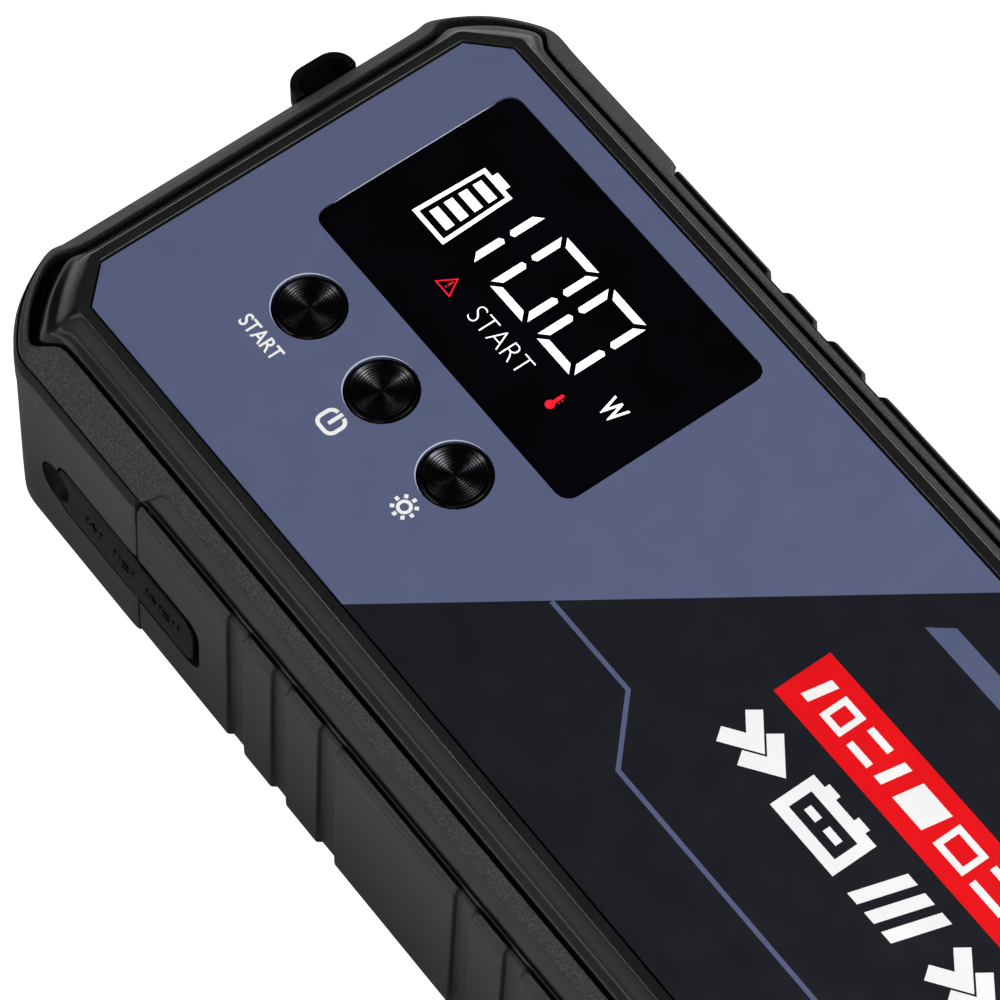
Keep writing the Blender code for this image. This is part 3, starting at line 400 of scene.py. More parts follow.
def evaluated_mesh(obj):
    """A new mesh of the object with its modifiers applied."""
    graph = bpy.context.evaluated_depsgraph_get()
    return bpy.data.meshes.new_from_object(obj.evaluated_get(graph), depsgraph=graph)


def place(obj, body, slot_name, *nodes):
    """Tie a finished piece to its body and hide the CAD nodes that it stands for; the record slot is not
    used.
    """
    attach(obj, body)
    if nodes:
        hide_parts(*nodes)


def smooth_cage(obj, levels=2):
    modifier = obj.modifiers.new("subdivision", "SUBSURF")
    modifier.levels = modifier.render_levels = levels
    return obj


def remove(*objects):
    for obj in objects:
        bpy.data.objects.remove(obj, do_unlink=True)


def complete(obj, body, slot_name, *nodes, angle=32, cutters=()):
    """Cut the cutters out, apply the modifiers, shade smooth up to an angle and place the piece."""
    for cutter in cutters:
        modifier = obj.modifiers.new(cutter.name, "BOOLEAN")
        modifier.operation = "DIFFERENCE"
        modifier.solver = "EXACT"
        modifier.object = cutter
    mesh = evaluated_mesh(obj)
    obj.modifiers.clear()
    obj.data = mesh
    mesh.shade_smooth()
    mesh.set_sharp_from_angle(angle=math.radians(angle))
    remove(*cutters)
    place(obj, body, slot_name, *nodes)


def grown(span, margin):
    return (span[0] - margin, span[1] + margin)


def about(middle, half):
    return (middle - half, middle + half)


def extent(box, axis, margin=0.0):
    """A box's two ends along an axis, moved apart by a margin."""
    return grown((box[0][axis], box[1][axis]), margin)


def round_edges(obj, width, angle):
    modifier = obj.modifiers.new("rounding", "BEVEL")
    modifier.width = width
    modifier.segments = 3
    modifier.limit_method = "ANGLE"
    modifier.angle_limit = math.radians(angle)
    return modifier


def box_mesh(name, x, y, z, material=None, bevel=0.0):
    bm = bmesh.new()
    bmesh.ops.create_cube(bm, size=1.0)
    bmesh.ops.scale(bm, vec=(x[1] - x[0], y[1] - y[0], z[1] - z[0]), verts=bm.verts)
    bmesh.ops.translate(bm, vec=((x[0] + x[1]) / 2, (y[0] + y[1]) / 2, (z[0] + z[1]) / 2), verts=bm.verts)
    obj = new_object(name, bm, *([material] if material else []))
    if bevel:
        round_edges(obj, bevel, 30)
    return obj


def add_plate(bm, outline, sweep):
    """Add a flat outline of 3D points, swept along a vector."""
    face = bm.faces.new([bm.verts.new(point) for point in outline])
    swept = bmesh.ops.extrude_face_region(bm, geom=[face])["geom"]
    moved = [item for item in swept if isinstance(item, bmesh.types.BMVert)]
    bmesh.ops.translate(bm, vec=Vector(sweep), verts=moved)


def plates(name, outlines, sweep, *materials):
    """One object of flat outlines, each swept along the same vector."""
    bm = bmesh.new()
    for outline in outlines:
        add_plate(bm, outline, sweep)
    bmesh.ops.recalc_face_normals(bm, faces=bm.faces)
    return new_object(name, bm, *materials)


def prism(name, outline, sweep, *materials, bevel=0.0):
    """A flat outline swept along a vector, its edges rounded."""
    obj = plates(name, [outline], sweep, *materials)
    if bevel:
        round_edges(obj, bevel, 50)
    return obj


def polar(centre, radius, angle):
    return (centre[0] + radius * math.cos(angle), centre[1] + radius * math.sin(angle))


def rounded_rectangle(x, y, radius, steps=8):
    points = []
    centres = (
        (x[1] - radius, y[1] - radius, 0),
        (x[0] + radius, y[1] - radius, 90),
        (x[0] + radius, y[0] + radius, 180),
        (x[1] - radius, y[0] + radius, 270),
    )
    for centre_x, centre_y, first in centres:
        for step in range(steps + 1):
            points.append(polar((centre_x, centre_y), radius, math.radians(first + 90 * step / steps)))
    return points


def skin(rings, closed_rows=True, caps=False):
    """A grid of faces through equal closed rings."""
    bm = bmesh.new()
    rows = [[bm.verts.new(point) for point in ring] for ring in rings]
    pairs = list(zip(rows, rows[1:]))
    if closed_rows:
        pairs.append((rows[-1], rows[0]))
    count = len(rows[0])
    for low, high in pairs:
        for i in range(count):
            j = (i + 1) % count
            bm.faces.new((low[i], low[j], high[j], high[i]))
    if caps:
        bm.faces.new(rows[0])
        bm.faces.new(rows[-1])
    bmesh.ops.recalc_face_normals(bm, faces=bm.faces)
    return bm


def rounded(rings, radii):
    """Each ring split in two, towards its neighbours, so that subdivision rounds its edge by a radius."""
    made = []
    count = len(rings)
    for index, (ring, radius) in enumerate(zip(rings, radii)):
        before, after = rings[index - 1], rings[(index + 1) % count]
        for other in (before, after):
            row = []
            for point, target in zip(ring, other):
                point, target = Vector(point), Vector(target)
                along = target - point
                reach = min(radius, along.length * 0.42)
                row.append(point + along.normalized() * reach)
            made.append(row)
    return made


# ---- outlines round the casing


def bowed(start, end, bulge):
    """Points from start to end, bowed outwards by a bulge."""
    start, end = Vector(start), Vector(end)
    along = end - start
    normal = Vector((-along.y, along.x, 0)).normalized()
    if normal.dot(start) < 0:
        normal = -normal
    return [
        start + along * (step / CORNER_STEPS) + normal * bulge * math.sin(math.pi * step / CORNER_STEPS)
        for step in range(CORNER_STEPS + 1)
    ]


def all_corners(quadrant):
    """A closed ring from its quarter in the +X, +Y corner."""
    ring = []
    for sign_x, sign_y in ((1, 1), (-1, 1), (-1, -1), (1, -1)):
        points = [(sign_x * x, sign_y * y, z) for x, y, z in quadrant]
        ring.extend(points if sign_x == sign_y else reversed(points))
    return ring


def with_holds(start, arc, finish):
    """A quarter of an outline, with a point on each straight run close to where it bends."""
    hold = 2.2 * MM
    return [
        (start[0], start[1] - hold, start[2]), start, *arc, finish, (finish[0] - hold, finish[1], finish[2]),
    ]


def armour(offset, depth, swell, bulge, shoulder=0.0):
    """One of the outer lines of the armour, from the end to the side."""
    end = PANEL_END + offset * MM + END_EXTRA
    side = PANEL_SIDE + offset * MM
    z = level(depth * MM)
    arc_start = (end + GUARD_PROUD, 33.6 * MM, z)
    arc_end = (PANEL_END - 1.0 * MM, side + swell * MM, z)
    arc = bowed(arc_start, arc_end, bulge * MM)
    for step, point in enumerate(arc):
        along = step / CORNER_STEPS
        push = shoulder * MM * math.sin(math.pi * along) * (1.6 - 1.2 * along)
        point.x += push * SHOULDER_WAY[X]
        point.y += push * SHOULDER_WAY[Y]
    return with_holds((end, 32.2 * MM, z), arc, (PANEL_END - 5.0 * MM, side, z))


def flare(end, side, depth, arc_start, arc_end, arc_depth, bulge, lead):
    """A line that swings out and down round the corner, in millimetres from the panel's end."""

    def spot(x, y, z_depth):
        return (PANEL_END + x * MM, y * MM, level(z_depth * MM))

    arc = bowed(spot(*arc_start, arc_depth), spot(*arc_end, arc_depth), bulge * MM)
    return with_holds(spot(end, lead[1], depth), arc, spot(lead[0], side, depth))


def lowered(line, depth):
    """The same flare line with both of its depths changed."""
    return (*line[:2], depth, *line[3:5], depth, *line[6:])


def plain(offset, depth, cut_length=5.3):
    """The panel's own outline grown by an offset, with cut corners."""
    end = PANEL_END + offset * MM
    side = PANEL_SIDE + offset * MM
    reach = (cut_length + offset * 0.6) * MM
    z = level(depth * MM)
    arc = bowed((end, side - reach, z), (end - reach, side, z), 0)
    return with_holds((end, side - reach - 1.0 * MM, z), arc, (end - reach - 1.0 * MM, side, z))


def with_seam(quadrant, middle, seam):
    """The quarter outline continued past the step at the seam, to the middle's own side and depth."""
    side, z = quadrant[-1][1], quadrant[-1][2]
    middle_side, middle_depth = middle
    low = level(middle_depth * MM)
    seam *= MM
    return [
        *quadrant,
        (seam + 0.40 * MM, side, z),
        (seam + 0.05 * MM, side, z),
        (seam - 0.20 * MM, middle_side * MM, low),
        (seam - 0.60 * MM, middle_side * MM, low),
    ]


# ---- casing

FLAP_X = (-112.8 * MM, -73.6 * MM)
FLAP_DEPTH = (24.2 * MM, 34.9 * MM)
FLAP_MIDDLE = sum(FLAP_DEPTH) / 2
FLAP_HALF = (FLAP_DEPTH[1] - FLAP_DEPTH[0]) / 2
FLAP_CORNER = 2.6 * MM
FLAP_SLOPE = Vector((0, WALL_SLOPE, 1)).normalized()
FLAP_OUT = Vector((0, -1, WALL_SLOPE)).normalized()
FLAP_CENTRE = Vector((0, -wall_side(FLAP_MIDDLE), level(FLAP_MIDDLE)))
LOBE = (-108.7 * MM, -0.85 * MM)
LOBE_RADIUS = 3.6 * MM
COVER_TOP = 12.6 * MM


def on_flap(x, v, out=0.0):
    """A point by X, distance up the flap and height over the wall's face."""
    return FLAP_CENTRE + Vector((x, 0, 0)) + FLAP_SLOPE * v + FLAP_OUT * out


def flap_cutter(name, x, v, radius, inside):
    """A rounded cutter from outside the wall to a depth behind its face."""
    outside = 3 * MM
    outline = [on_flap(px, pv, outside) for px, pv in rounded_rectangle(x, v, radius)]
    return prism(name, outline, -FLAP_OUT * (outside + inside))


def lobe_disc(name, radius, low, high):
    """The flap's round end across the wall's face, with a softened rim."""
    centre = on_flap(*LOBE)
    sides = 48
    rim = min(0.45 * MM, (high - low) * 0.3)
    rings = []
    for r, out in ((radius, low), (radius, high - rim), (radius, high - rim * 0.3), (radius - rim, high)):
        ring = []
        for i in range(sides):
            a = 2 * math.pi * i / sides
            point = centre + Vector((r * math.cos(a), 0, 0)) + FLAP_SLOPE * r * math.sin(a)
            ring.append(point + FLAP_OUT * out)
        rings.append(ring)
    return new_object(name, skin(rings, closed_rows=False, caps=True), RUBBER)


def shell_rows():
    """The shell's section: each row's corner line, its (side, depth) between the seams, seam and rounding.

    All but the corner lines are in millimetres.
    """
    lip_low = (8.7, 45.25, 6.3, (10.9, 34.0), (-1.3, 47.1), 8.0, 1.45, (-4.2, 31.9))
    lip = (8.6, 45.15, 6.2, (10.6, 34.0), (-1.4, 47.0), 7.8, 1.45, (-4.3, 31.9))
    lip_top = (8.5, 45.05, 6.1, (10.4, 34.1), (-1.5, 46.8), 7.5, 1.4, (-4.4, 31.8))
    band_inner = (6.5, 42.9, 3.9, (9.7, 34.4), (-1.8, 46.2), 7.0, 1.4, (-5.4, 31.4))
    return [
        (armour(12.2, 44.7, 0.0, 1.5), (46.4, 44.7), 88.5, 0.25),
        (armour(12.6, 44.1, 0.0, 1.5, 0.5), (47.0, 43.9), 88.5, 0.35),
        (armour(11.16, 15.35, 0.27, 1.6, 0.6), (45.7, 15.3), 88.5, 0.06),
        (armour(11.30, 15.05, 0.30, 1.6, 0.6), (45.7, 15.0), 88.5, 0.10),
        (armour(11.05, 11.9, 0.40, 1.8, 0.6), (45.6, 11.9), 88.5, 0.30),
        (armour(10.60, 9.12, 0.35, 1.7, 0.15), (46.84, 10.6), 88.45, 0.14),
        (armour(10.44, 9.02, 0.34, 1.7, 0.1), (46.80, 9.64), 88.3, 0.06),
        (armour(10.24, 9.40, 0.32, 1.65), (46.58, 9.60), 88.1, 0.06),
        (armour(10.22, 9.00, 0.31, 1.6), (46.42, 10.1), 87.9, 0.06),
        (armour(10.26, 8.62, 0.30, 1.6), (46.26, 9.02), 87.6, 0.10),
        (armour(9.96, 8.30, 0.28, 1.6), (46.06, 8.74), 87.2, 0.12),
        (flare(*lip_low), (44.92, 6.90), 85.7, 0.10),
        (flare(*lip), (44.46, 6.62), 85.5, 0.05),
        (flare(*lip_top), (45.05, 6.1), 85.2, 0.06),
        (flare(*band_inner), (42.9, 3.9), 84.8, 0.28),
        (flare(*lowered(band_inner, 10.5)), (42.9, 10.5), 84.8, 0.3),
        (plain(1.4, 10.5), (38.65, 10.5), 84.8, 0.3),
        (plain(1.4, 12.3), (38.65, 12.3), 84.8, 0.3),
        (plain(7.78, 14.3, 7.5), (43.2, 14.3), 88.5, 0.3),
        (plain(8.19, 44.7, 7.5), (44.6, 44.7), 88.5, 0.3),
    ]


# Rows of the shell's section where a finish starts or ends, and the material slots of the finishes; the
# strip's lighter copy of the black is painted light, the near-black copy painted shade.
CREASE_ROW = 5
EDGE_ROW = 9
STRIP_ROW = 10
FACE_ROW = 13
GRAIN_SLOT, STRIP_SLOT, SHADE_SLOT = 1, 2, 3


def band_faces(bm, columns):
    """Give each moulded finish its faces: grain on the band; between the seams a lighter copy of the black
    on the smooth strip below it, painted light, and a near-black copy on the step up to the band, painted
    shade; the same painted shade on the armour's facet under its crease.
    """
    quarter = columns // 4
    bm.faces.ensure_lookup_table()
    for index, face in enumerate(bm.faces):
        row, column = divmod(index, columns)
        across = column % quarter
        if (column // quarter) % 2:
            across = quarter - 2 - across
        middle = across >= quarter - 3 or across < 0
        grain_start = 2 * FACE_ROW if middle else 2 * EDGE_ROW - 1
        if grain_start <= row < 2 * FACE_ROW + 3:
            face.material_index = GRAIN_SLOT
        elif middle and 2 * STRIP_ROW - 1 <= row < 2 * STRIP_ROW + 3:
            face.material_index = STRIP_SLOT
        elif middle and 2 * STRIP_ROW + 3 <= row < 2 * FACE_ROW:
            face.material_index = SHADE_SLOT
        elif not middle and 2 * CREASE_ROW - 2 < row <= 2 * CREASE_ROW:
            face.material_index = SHADE_SLOT


def make_shell():
    rows = shell_rows()
    rings = [all_corners(with_seam(line, middle, seam)) for line, middle, seam, _ in rows]
    bm = skin(rounded(rings, [row[-1] * MM for row in rows]))
    band_faces(bm, len(rings[0]))
    shell = smooth_cage(new_object("shell", bm, WALL, BAND_GRAIN, STRIP_LIGHTENED, CREASE_SHADE))
    names = ("port_frame", "output_socket", "lamp_lens", "socket_cover")
    port, socket, lens, cover = (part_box(name) for name in names)
    outside, ledge = 150 * MM, 1.5 * MM
    flap_span = (LOBE[0] + 0.15 * MM, FLAP_X[1] + GAP)
    cutters = [
        flap_cutter("flap_recess", flap_span, grown((-FLAP_HALF, FLAP_HALF), GAP), FLAP_CORNER, 2.1 * MM),
        lobe_disc("lobe_recess", LOBE_RADIUS + GAP, -2.1 * MM, 3 * MM),
        box_mesh("port_opening", extent(port, X, GAP), (1.1 * MM - wall_side(FLAP_MIDDLE), -40 * MM),
                 extent(port, Z, GAP)),
        box_mesh("cover_recess", (-outside, -wall_end(COVER_TOP) + 2.0 * MM + GAP), extent(cover, Y, GAP),
                 (cover[0].z - GAP, level(COVER_TOP) + GAP)),
        box_mesh("socket_opening", (-outside, -110 * MM), extent(socket, Y, GAP), extent(socket, Z, GAP)),
        box_mesh("lamp_recess", (lens[0].x - GAP, outside), extent(lens, Y, GAP), extent(lens, Z, GAP)),
        box_mesh("lamp_opening", (112 * MM, outside), extent(lens, Y, -ledge), extent(lens, Z, -ledge)),
    ]
    complete(shell, "pack", "casing_black", "upper_shell", cutters=cutters)


def bezel_rows():
    """The bezel's section, from the panel's edge outwards and back below: corner lines and roundings."""
    kink = (3.8, 40.75, 2.8, (4.6, 33.3), (-3.6, 42.6), 3.2, 0.5, (-5.6, 31.6))
    swell = (4.6, 41.70, 3.55, (6.2, 33.5), (-2.9, 44.1), 4.35, 0.95, (-5.6, 31.3))
    edge = (5.3, 42.40, 4.15, (7.4, 33.5), (-2.3, 45.2), 6.5, 0.9, (-5.6, 31.0))
    return [
        (plain(-2.0, 1.5), 0.1),
        (plain(0.3, 1.5), 0.1),
        (plain(0.3, -0.3), 0.15),
        (plain(1.95, -0.3), 0.10),
        (flare(*kink), 0.35),
        (flare(*swell), 0.35),
        (flare(*edge), 0.14),
        (flare(*lowered(edge, 9.1)), 0.2),
        (plain(2.3, 9.1), 0.2),
        (plain(1.2, 3.7), 0.2),
        (plain(-2.0, 3.7), 0.1),
    ]


# The crown is an extra row halfway down the slope. The lip is the level edge beside the panel; it takes a
# lighter copy of the bezel's gloss, painted light.
CROWN_ROW = 4
LIP_FACES = (4, 5, 6)


def make_bezel():
    rows = bezel_rows()
    rings = [all_corners(line) for line, _ in rows]
    radii = [radius * MM for _, radius in rows]
    crown = Vector((0, 0, 0.42 * MM))
    pairs = zip(rings[CROWN_ROW - 1], rings[CROWN_ROW])
    rings.insert(CROWN_ROW, [Vector(upper).lerp(Vector(lower), 0.5) + crown for upper, lower in pairs])
    radii.insert(CROWN_ROW, 0.6 * MM)
    bm = skin(rounded(rings, radii))
    bm.faces.ensure_lookup_table()
    for index, face in enumerate(bm.faces):
        face.material_index = 1 if index // len(rings[0]) in LIP_FACES else 0
    bezel = smooth_cage(new_object("bezel", bm, BEZEL, BEZEL_LIP_LIGHTENED), 3)
    complete(bezel, "pack", "bezel_gloss", "front_bezel", angle=40)


# ---- side grips

# X of each rib's ends in millimetres, up to the middle of the pack; the other half mirrors them.
RIBS = ((-88.1, -66.0), (-62.5, -55.3), (-52.2, -44.2), (-40.4, -12.8), (-9.4, -1.7))
BASE, RIB, CORNER = range(3)
CHAMFER_SIDES = (4, 5, 6)
STEP_SIDES = (7, 8)


def grip_sections():
    """The strip's closed sections between the ribs, on a rib and on its cut corner: sides and depths."""
    foot = 44.2

    def side(depth):
        return wall_side(depth * MM) / MM

    base = [
        (46.05, 10.95), (46.9, 10.65), (47.15, 10.75), (side(11.8) - 0.9, 11.6), (side(12) - 0.9, 11.9),
        (side(13) - 0.9, 12.4), (side(43.2) - 0.9, 43.2), (side(foot) - 1.7, foot),
        (47.45, foot), (46.35, 12.5),
    ]
    rib = [
        (46.9, 11.2), (47.25, 9.95), (47.62, 9.82), (side(10.9), 10.95), (side(11.2) - 0.25, 11.25),
        (side(11.7), 11.75), (side(42.7), 42.7), (side(43.6) - 0.8, 43.6), (47.45, 43.9), (46.35, 12.5),
    ]
    corner = [*base[:2], (47.4, 10.75), (side(12.4) - 0.10, 12.2), *rib[4:]]
    return base, rib, corner


def grip_columns():
    """X of each column along the grip, with the section it follows."""
    ends = (SEAM_X - 0.5 * MM) / MM
    spans = list(RIBS) + [(-x1, -x0) for x0, x1 in reversed(RIBS)]
    columns = []
    for index, (x0, x1) in enumerate(spans):
        if index:
            columns += [(x0 - 0.35, BASE), (x0 - 0.02, BASE), (x0 + 0.16, CORNER), (x0 + 1.1, RIB)]
        columns += [(x0 + 1.6, RIB), (x1 - 1.6, RIB)]
        if index < len(spans) - 1:
            columns += [(x1 - 0.45, RIB), (x1 - 0.12, RIB), (x1 + 0.02, BASE), (x1 + 0.35, BASE)]
    return [(-ends, RIB), (-ends + 0.3, RIB), *columns, (ends - 0.3, RIB), (ends, RIB)]


def round_section(section):
    """Each corner of a closed section split in two."""
    radius = 0.22
    points = []
    for index, point in enumerate(section):
        point = Vector(point)
        for other in (section[index - 1], section[(index + 1) % len(section)]):
            along = Vector(other) - point
            points.append(point + along.normalized() * min(radius, along.length * 0.4))
    return points


def rib_faces(bm, around):
    """Paint each rib's top chamfer with a lighter copy of the grip's rubber, a painted highlight, and the
    fine step below it near-black, painted shade.
    """
    kinds = [kind for _, kind in grip_columns()]
    bm.faces.ensure_lookup_table()
    for index, face in enumerate(bm.faces):
        column, side = divmod(index, around)
        if column + 1 < len(kinds) and kinds[column] == kinds[column + 1] == RIB:
            face.material_index = 1 if side in CHAMFER_SIDES else 2 if side in STEP_SIDES else 0


def make_grip(name, node, sign):
    sections = [round_section(section) for section in grip_sections()]
    rings = [
        [(x * MM, sign * side * MM, level(depth * MM)) for side, depth in sections[kind]]
        for x, kind in grip_columns()
    ]
    bm = skin(rings, closed_rows=False, caps=True)
    rib_faces(bm, len(sections[0]))
    grip = smooth_cage(new_object(name, bm, GRIP, GRIP_CHAMFER_LIGHTENED, CREASE_SHADE))
    notches = []
    if sign < 0:
        clearance = 0.75 * MM
        x = (FLAP_X[0] - 5 * MM, FLAP_X[1] + clearance)
        v = (-FLAP_HALF - GAP, FLAP_HALF + clearance)
        notches.append(flap_cutter("grip_notch", x, v, FLAP_CORNER + clearance * 0.5, 5 * MM))
    complete(grip, "pack", "rubber_black", node, angle=35, cutters=notches)


# ---- printed face


def ink(name, polygons, material, depth=-0.03, thickness=0.05):
    """Thin flat plates of ink from outlines in millimetres from the panel's display end and middle line."""
    outlines = [[(*from_panel(x, y), level(depth * MM)) for x, y in polygon] for polygon in polygons]
    place(plates(name, outlines, (0, 0, -thickness * MM), material), "pack", "panel_print")


def stroke(points, width, closed=False):
    """Quads along a line of points, mitred where it bends, up to a limit at sharp corners."""
    points = [Vector(p) for p in points]
    count = len(points)
    pairs = []
    for i, point in enumerate(points):
        before = points[i - 1] if (i or closed) else None
        after = points[(i + 1) % count] if (i < count - 1 or closed) else None
        first = (point - before).normalized() if before else (after - point).normalized()
        second = (after - point).normalized() if after else first
        normal = Vector((-(first.y + second.y), first.x + second.x)).normalized()
        reach = width / 2 / max(0.35, normal.dot(Vector((-first.y, first.x))))
        pairs.append((point + normal * reach, point - normal * reach))
    if closed:
        pairs.append(pairs[0])
    return [(a[0], b[0], b[1], a[1]) for a, b in zip(pairs, pairs[1:])]


def arc_points(centre, radius, start, end, steps=16):
    return [polar(centre, radius, math.radians(start + (end - start) * i / steps)) for i in range(steps + 1)]


def rectangle(x0, x1, y0, y1):
    return [(x0, y0), (x1, y0), (x1, y1), (x0, y1)]


def slanted(x, width, y0, y1, lean):
    return [(x, y0), (x + width, y0), (x + width + lean, y1), (x + lean, y1)]


def lettering(name, text, x, y, material, depth=-0.03, weight=0.012):
    """Plain letters fitted to a box in millimetres on the face."""
    curve = bpy.data.curves.new(name, "FONT")
    curve.body = text
    curve.resolution_u = 6
    curve.extrude = 0.01
    curve.offset = weight
    helper = linked(name + "_helper", curve)
    mesh = evaluated_mesh(helper)
    remove(helper)
    low = [min(v.co[i] for v in mesh.vertices) for i in range(3)]
    high = [max(v.co[i] for v in mesh.vertices) for i in range(3)]
    left, bottom = from_panel(x[0], y[0])
    right, top = from_panel(x[1], y[1])
    scale = [length / (h - l) for length, h, l in zip((right - left, top - bottom, 0.05 * MM), high, low)]
    for vertex in mesh.vertices:
        vertex.co = (
            left + (vertex.co.x - low[0]) * scale[0],
            bottom + (vertex.co.y - low[1]) * scale[1],
            level(depth * MM) + (vertex.co.z - high[2]) * scale[2],
        )
    mesh.materials.clear()
    mesh.materials.append(material)
    place(linked(name, mesh), "pack", "panel_print")


def make_prints():
    end = PANEL_END * 2 / MM
    line = [(82.5, -14.0), (99.75, -14.0), (108.75, -22.6), (end - 14, -22.6)]
    ink("print_line", stroke(line, 0.7), LINE_BLUE)
    ink("print_blue_bar", [[(116.25, 24.4), (end - 9, 24.4), (end - 11.5, 27.8), (119.0, 27.8)]], LINE_BLUE)
    ink("print_red_bar", [rectangle(111.6, end - 7, 1.75, 11.6)], RED)
    ink("print_bar_marks", bar_marks(end), WHITE_GLOWING, -0.05)
    ink("print_pictograms", pictograms(end), WHITE_GLOWING)
    lettering("label_start", "START", (19.5, 28.0), (-22.2, -19.8), WHITE_GLOWING)
    ink("label_power", power_mark(41.0, -21.3), WHITE_GLOWING)
    ink("label_light", light_mark(58.3, -21.3), WHITE_GLOWING)


def bar_marks(end):
    """White slanted dashes and blocks in the red bar."""
    marks = []
    x = 114.2
    widths = (1.6, 4.4, 4.4, 1.6, 6.2, 6.2, 6.2, 1.6)
    index = 0
    while x + widths[index % len(widths)] < end - 12:
        width = widths[index % len(widths)]
        if index % 4 == 1:
            marks += stroke(rectangle(x + 0.5, x + width - 0.5, 4.9, 8.6), 1.0, closed=True)
        elif index % 4 == 2:
            marks.append(rectangle(x, x + width, 4.4, 5.5))
            marks.append(rectangle(x, x + width, 8.0, 9.1))
        else:
            marks.append(slanted(x, width, 4.4, 9.1, 0.9))
        x += width + 1.5 + (0.9 if index % 4 in (0, 3) else 0)
        index += 1
    return marks


def pictograms(end):
    """A row of bold generic pictograms: chevrons, a battery, plus and minus signs."""
    low, high = -9.4, -1.1
    middle = (low + high) / 2
    shapes = []
    x = 112.4
    while x < end - 42:
        for _ in range(2):
            shapes += stroke([(x, low + 1.1), (x + 4.2, middle), (x, high - 1.1)], 2.4)
            x += 4.6
        x += 3.4
        shapes += stroke(rectangle(x + 0.9, x + 12.6, low + 0.9, high - 1.7), 1.8, closed=True)
        shapes += [rectangle(x + left, x + left + 2.4, high - 0.8, high) for left in (2.4, 8.7)]
        for left, right in ((3.4, 5.8), (7.4, 10.2)):
            shapes.append(rectangle(x + left, x + right, middle - 1.0, middle + 0.2))
        x += 16.6
        shapes += [slanted(x + i * 3.6, 2.1, low, high, 2.6) for i in range(3)]
        x += 15.4
    return shapes


def power_mark(x, y):
    """A rounded square ring, open at the top, with a bar in the opening."""
    half_x, half_y, r = 1.75, 1.65, 1.1
    steps = 6
    corners = rounded_rectangle(about(x, half_x), about(y, half_y), r, steps)
    ring = corners[steps::-1] + corners[:steps:-1]
    return stroke(ring, 0.62) + [rectangle(x - 0.31, x + 0.31, y - 0.5, y + 2.0)]


def light_mark(x, y):
    """A small ring with eight rays."""
    marks = stroke(arc_points((x, y), 0.92, 0, 360, 24)[:-1], 0.52, closed=True)
    for index in range(8):
        marks += stroke([polar((x, y), r, math.radians(45 * index)) for r in (1.42, 2.05)], 0.58)
    return marks


# ---- display


def digit(x0, x1, y0, y1, bars):
    """A lit digit in a box, its bars mitred at the corners; bars are the letters a to f."""
    width, gap = 1.25, 0.58
    middle = (y0 + y1) / 2

    def flat(y, inward):
        inner = y + inward * width
        return [(x0 + gap, y), (x1 - gap, y), (x1 - gap - width, inner), (x0 + gap + width, inner)]

    def upright(x, inward, end, up):
        inner = x + inward * width
        return [
            (x, end - up * gap), (inner, end - up * (gap + width)), (inner, middle + up * (gap + 0.45)),
            (x + inward * 0.5 * width, middle + up * gap), (x, middle + up * (gap + 0.3)),
        ]

    shapes = {
        "a": flat(y1, -1), "b": upright(x1, -1, y1, 1), "c": upright(x1, -1, y0, -1),
        "d": flat(y0, 1), "e": upright(x0, 1, y0, -1), "f": upright(x0, 1, y1, 1),
    }
    return [shapes[bar] for bar in bars]


def battery_mark():
    outline = stroke([(19.45, 9.1), (26.15, 9.1), (25.75, 21.1), (19.85, 21.1)], 0.7, closed=True)
    bars = [
        [(20.75 + 0.03 * i, 10.6 + 2.55 * i), (24.85 - 0.03 * i, 10.6 + 2.55 * i),
         (24.80 - 0.03 * i, 12.1 + 2.55 * i), (20.80 + 0.03 * i, 12.1 + 2.55 * i)]
        for i in range(4)
    ]
    return outline + bars + [rectangle(21.3, 24.3, 21.5, 22.4)]


def make_display():
    depth, thick = -0.015, 0.03
    digits = digit(28.3, 31.6, 10.0, 23.7, "bc")
    digits += digit(35.6, 44.2, 10.0, 23.7, "abcdef") + digit(46.6, 55.2, 10.0, 23.7, "abcdef")
    ink("lit_digits", digits, LIT_WHITE, depth, thick)
    ink("lit_battery", battery_mark(), LIT_WHITE, depth, thick)
    lettering("lit_unit", "W", (61.3, 64.8), (9.7, 13.1), LIT_WHITE, depth)
    lettering("lit_word", "START", (38.1, 50.6), (4.2, 7.3), LIT_WHITE, depth, -0.024)
    triangle = stroke([(30.9, 4.3), (34.1, 4.3), (32.5, 7.0)], 0.22, closed=True)
    triangle += [rectangle(32.37, 32.63, 5.25, 6.25), rectangle(32.37, 32.63, 4.75, 5.0)]
    ink("lit_warning", triangle, LIT_RED, depth, thick)
    bulb = arc_points((57.0, 4.9), 0.75, 0, 360, 20)[:-1]
    stem = [(56.7, 5.6), (57.3, 5.6), *arc_points((57.0, 7.1), 0.3, 0, 180, 6)]
    ticks = [rectangle(57.45, 57.75, 5.95 + 0.6 * i, 6.1 + 0.6 * i) for i in range(2)]
    ink("lit_heat", [bulb, stem, *ticks], LIT_RED, depth, thick)


# ---- buttons


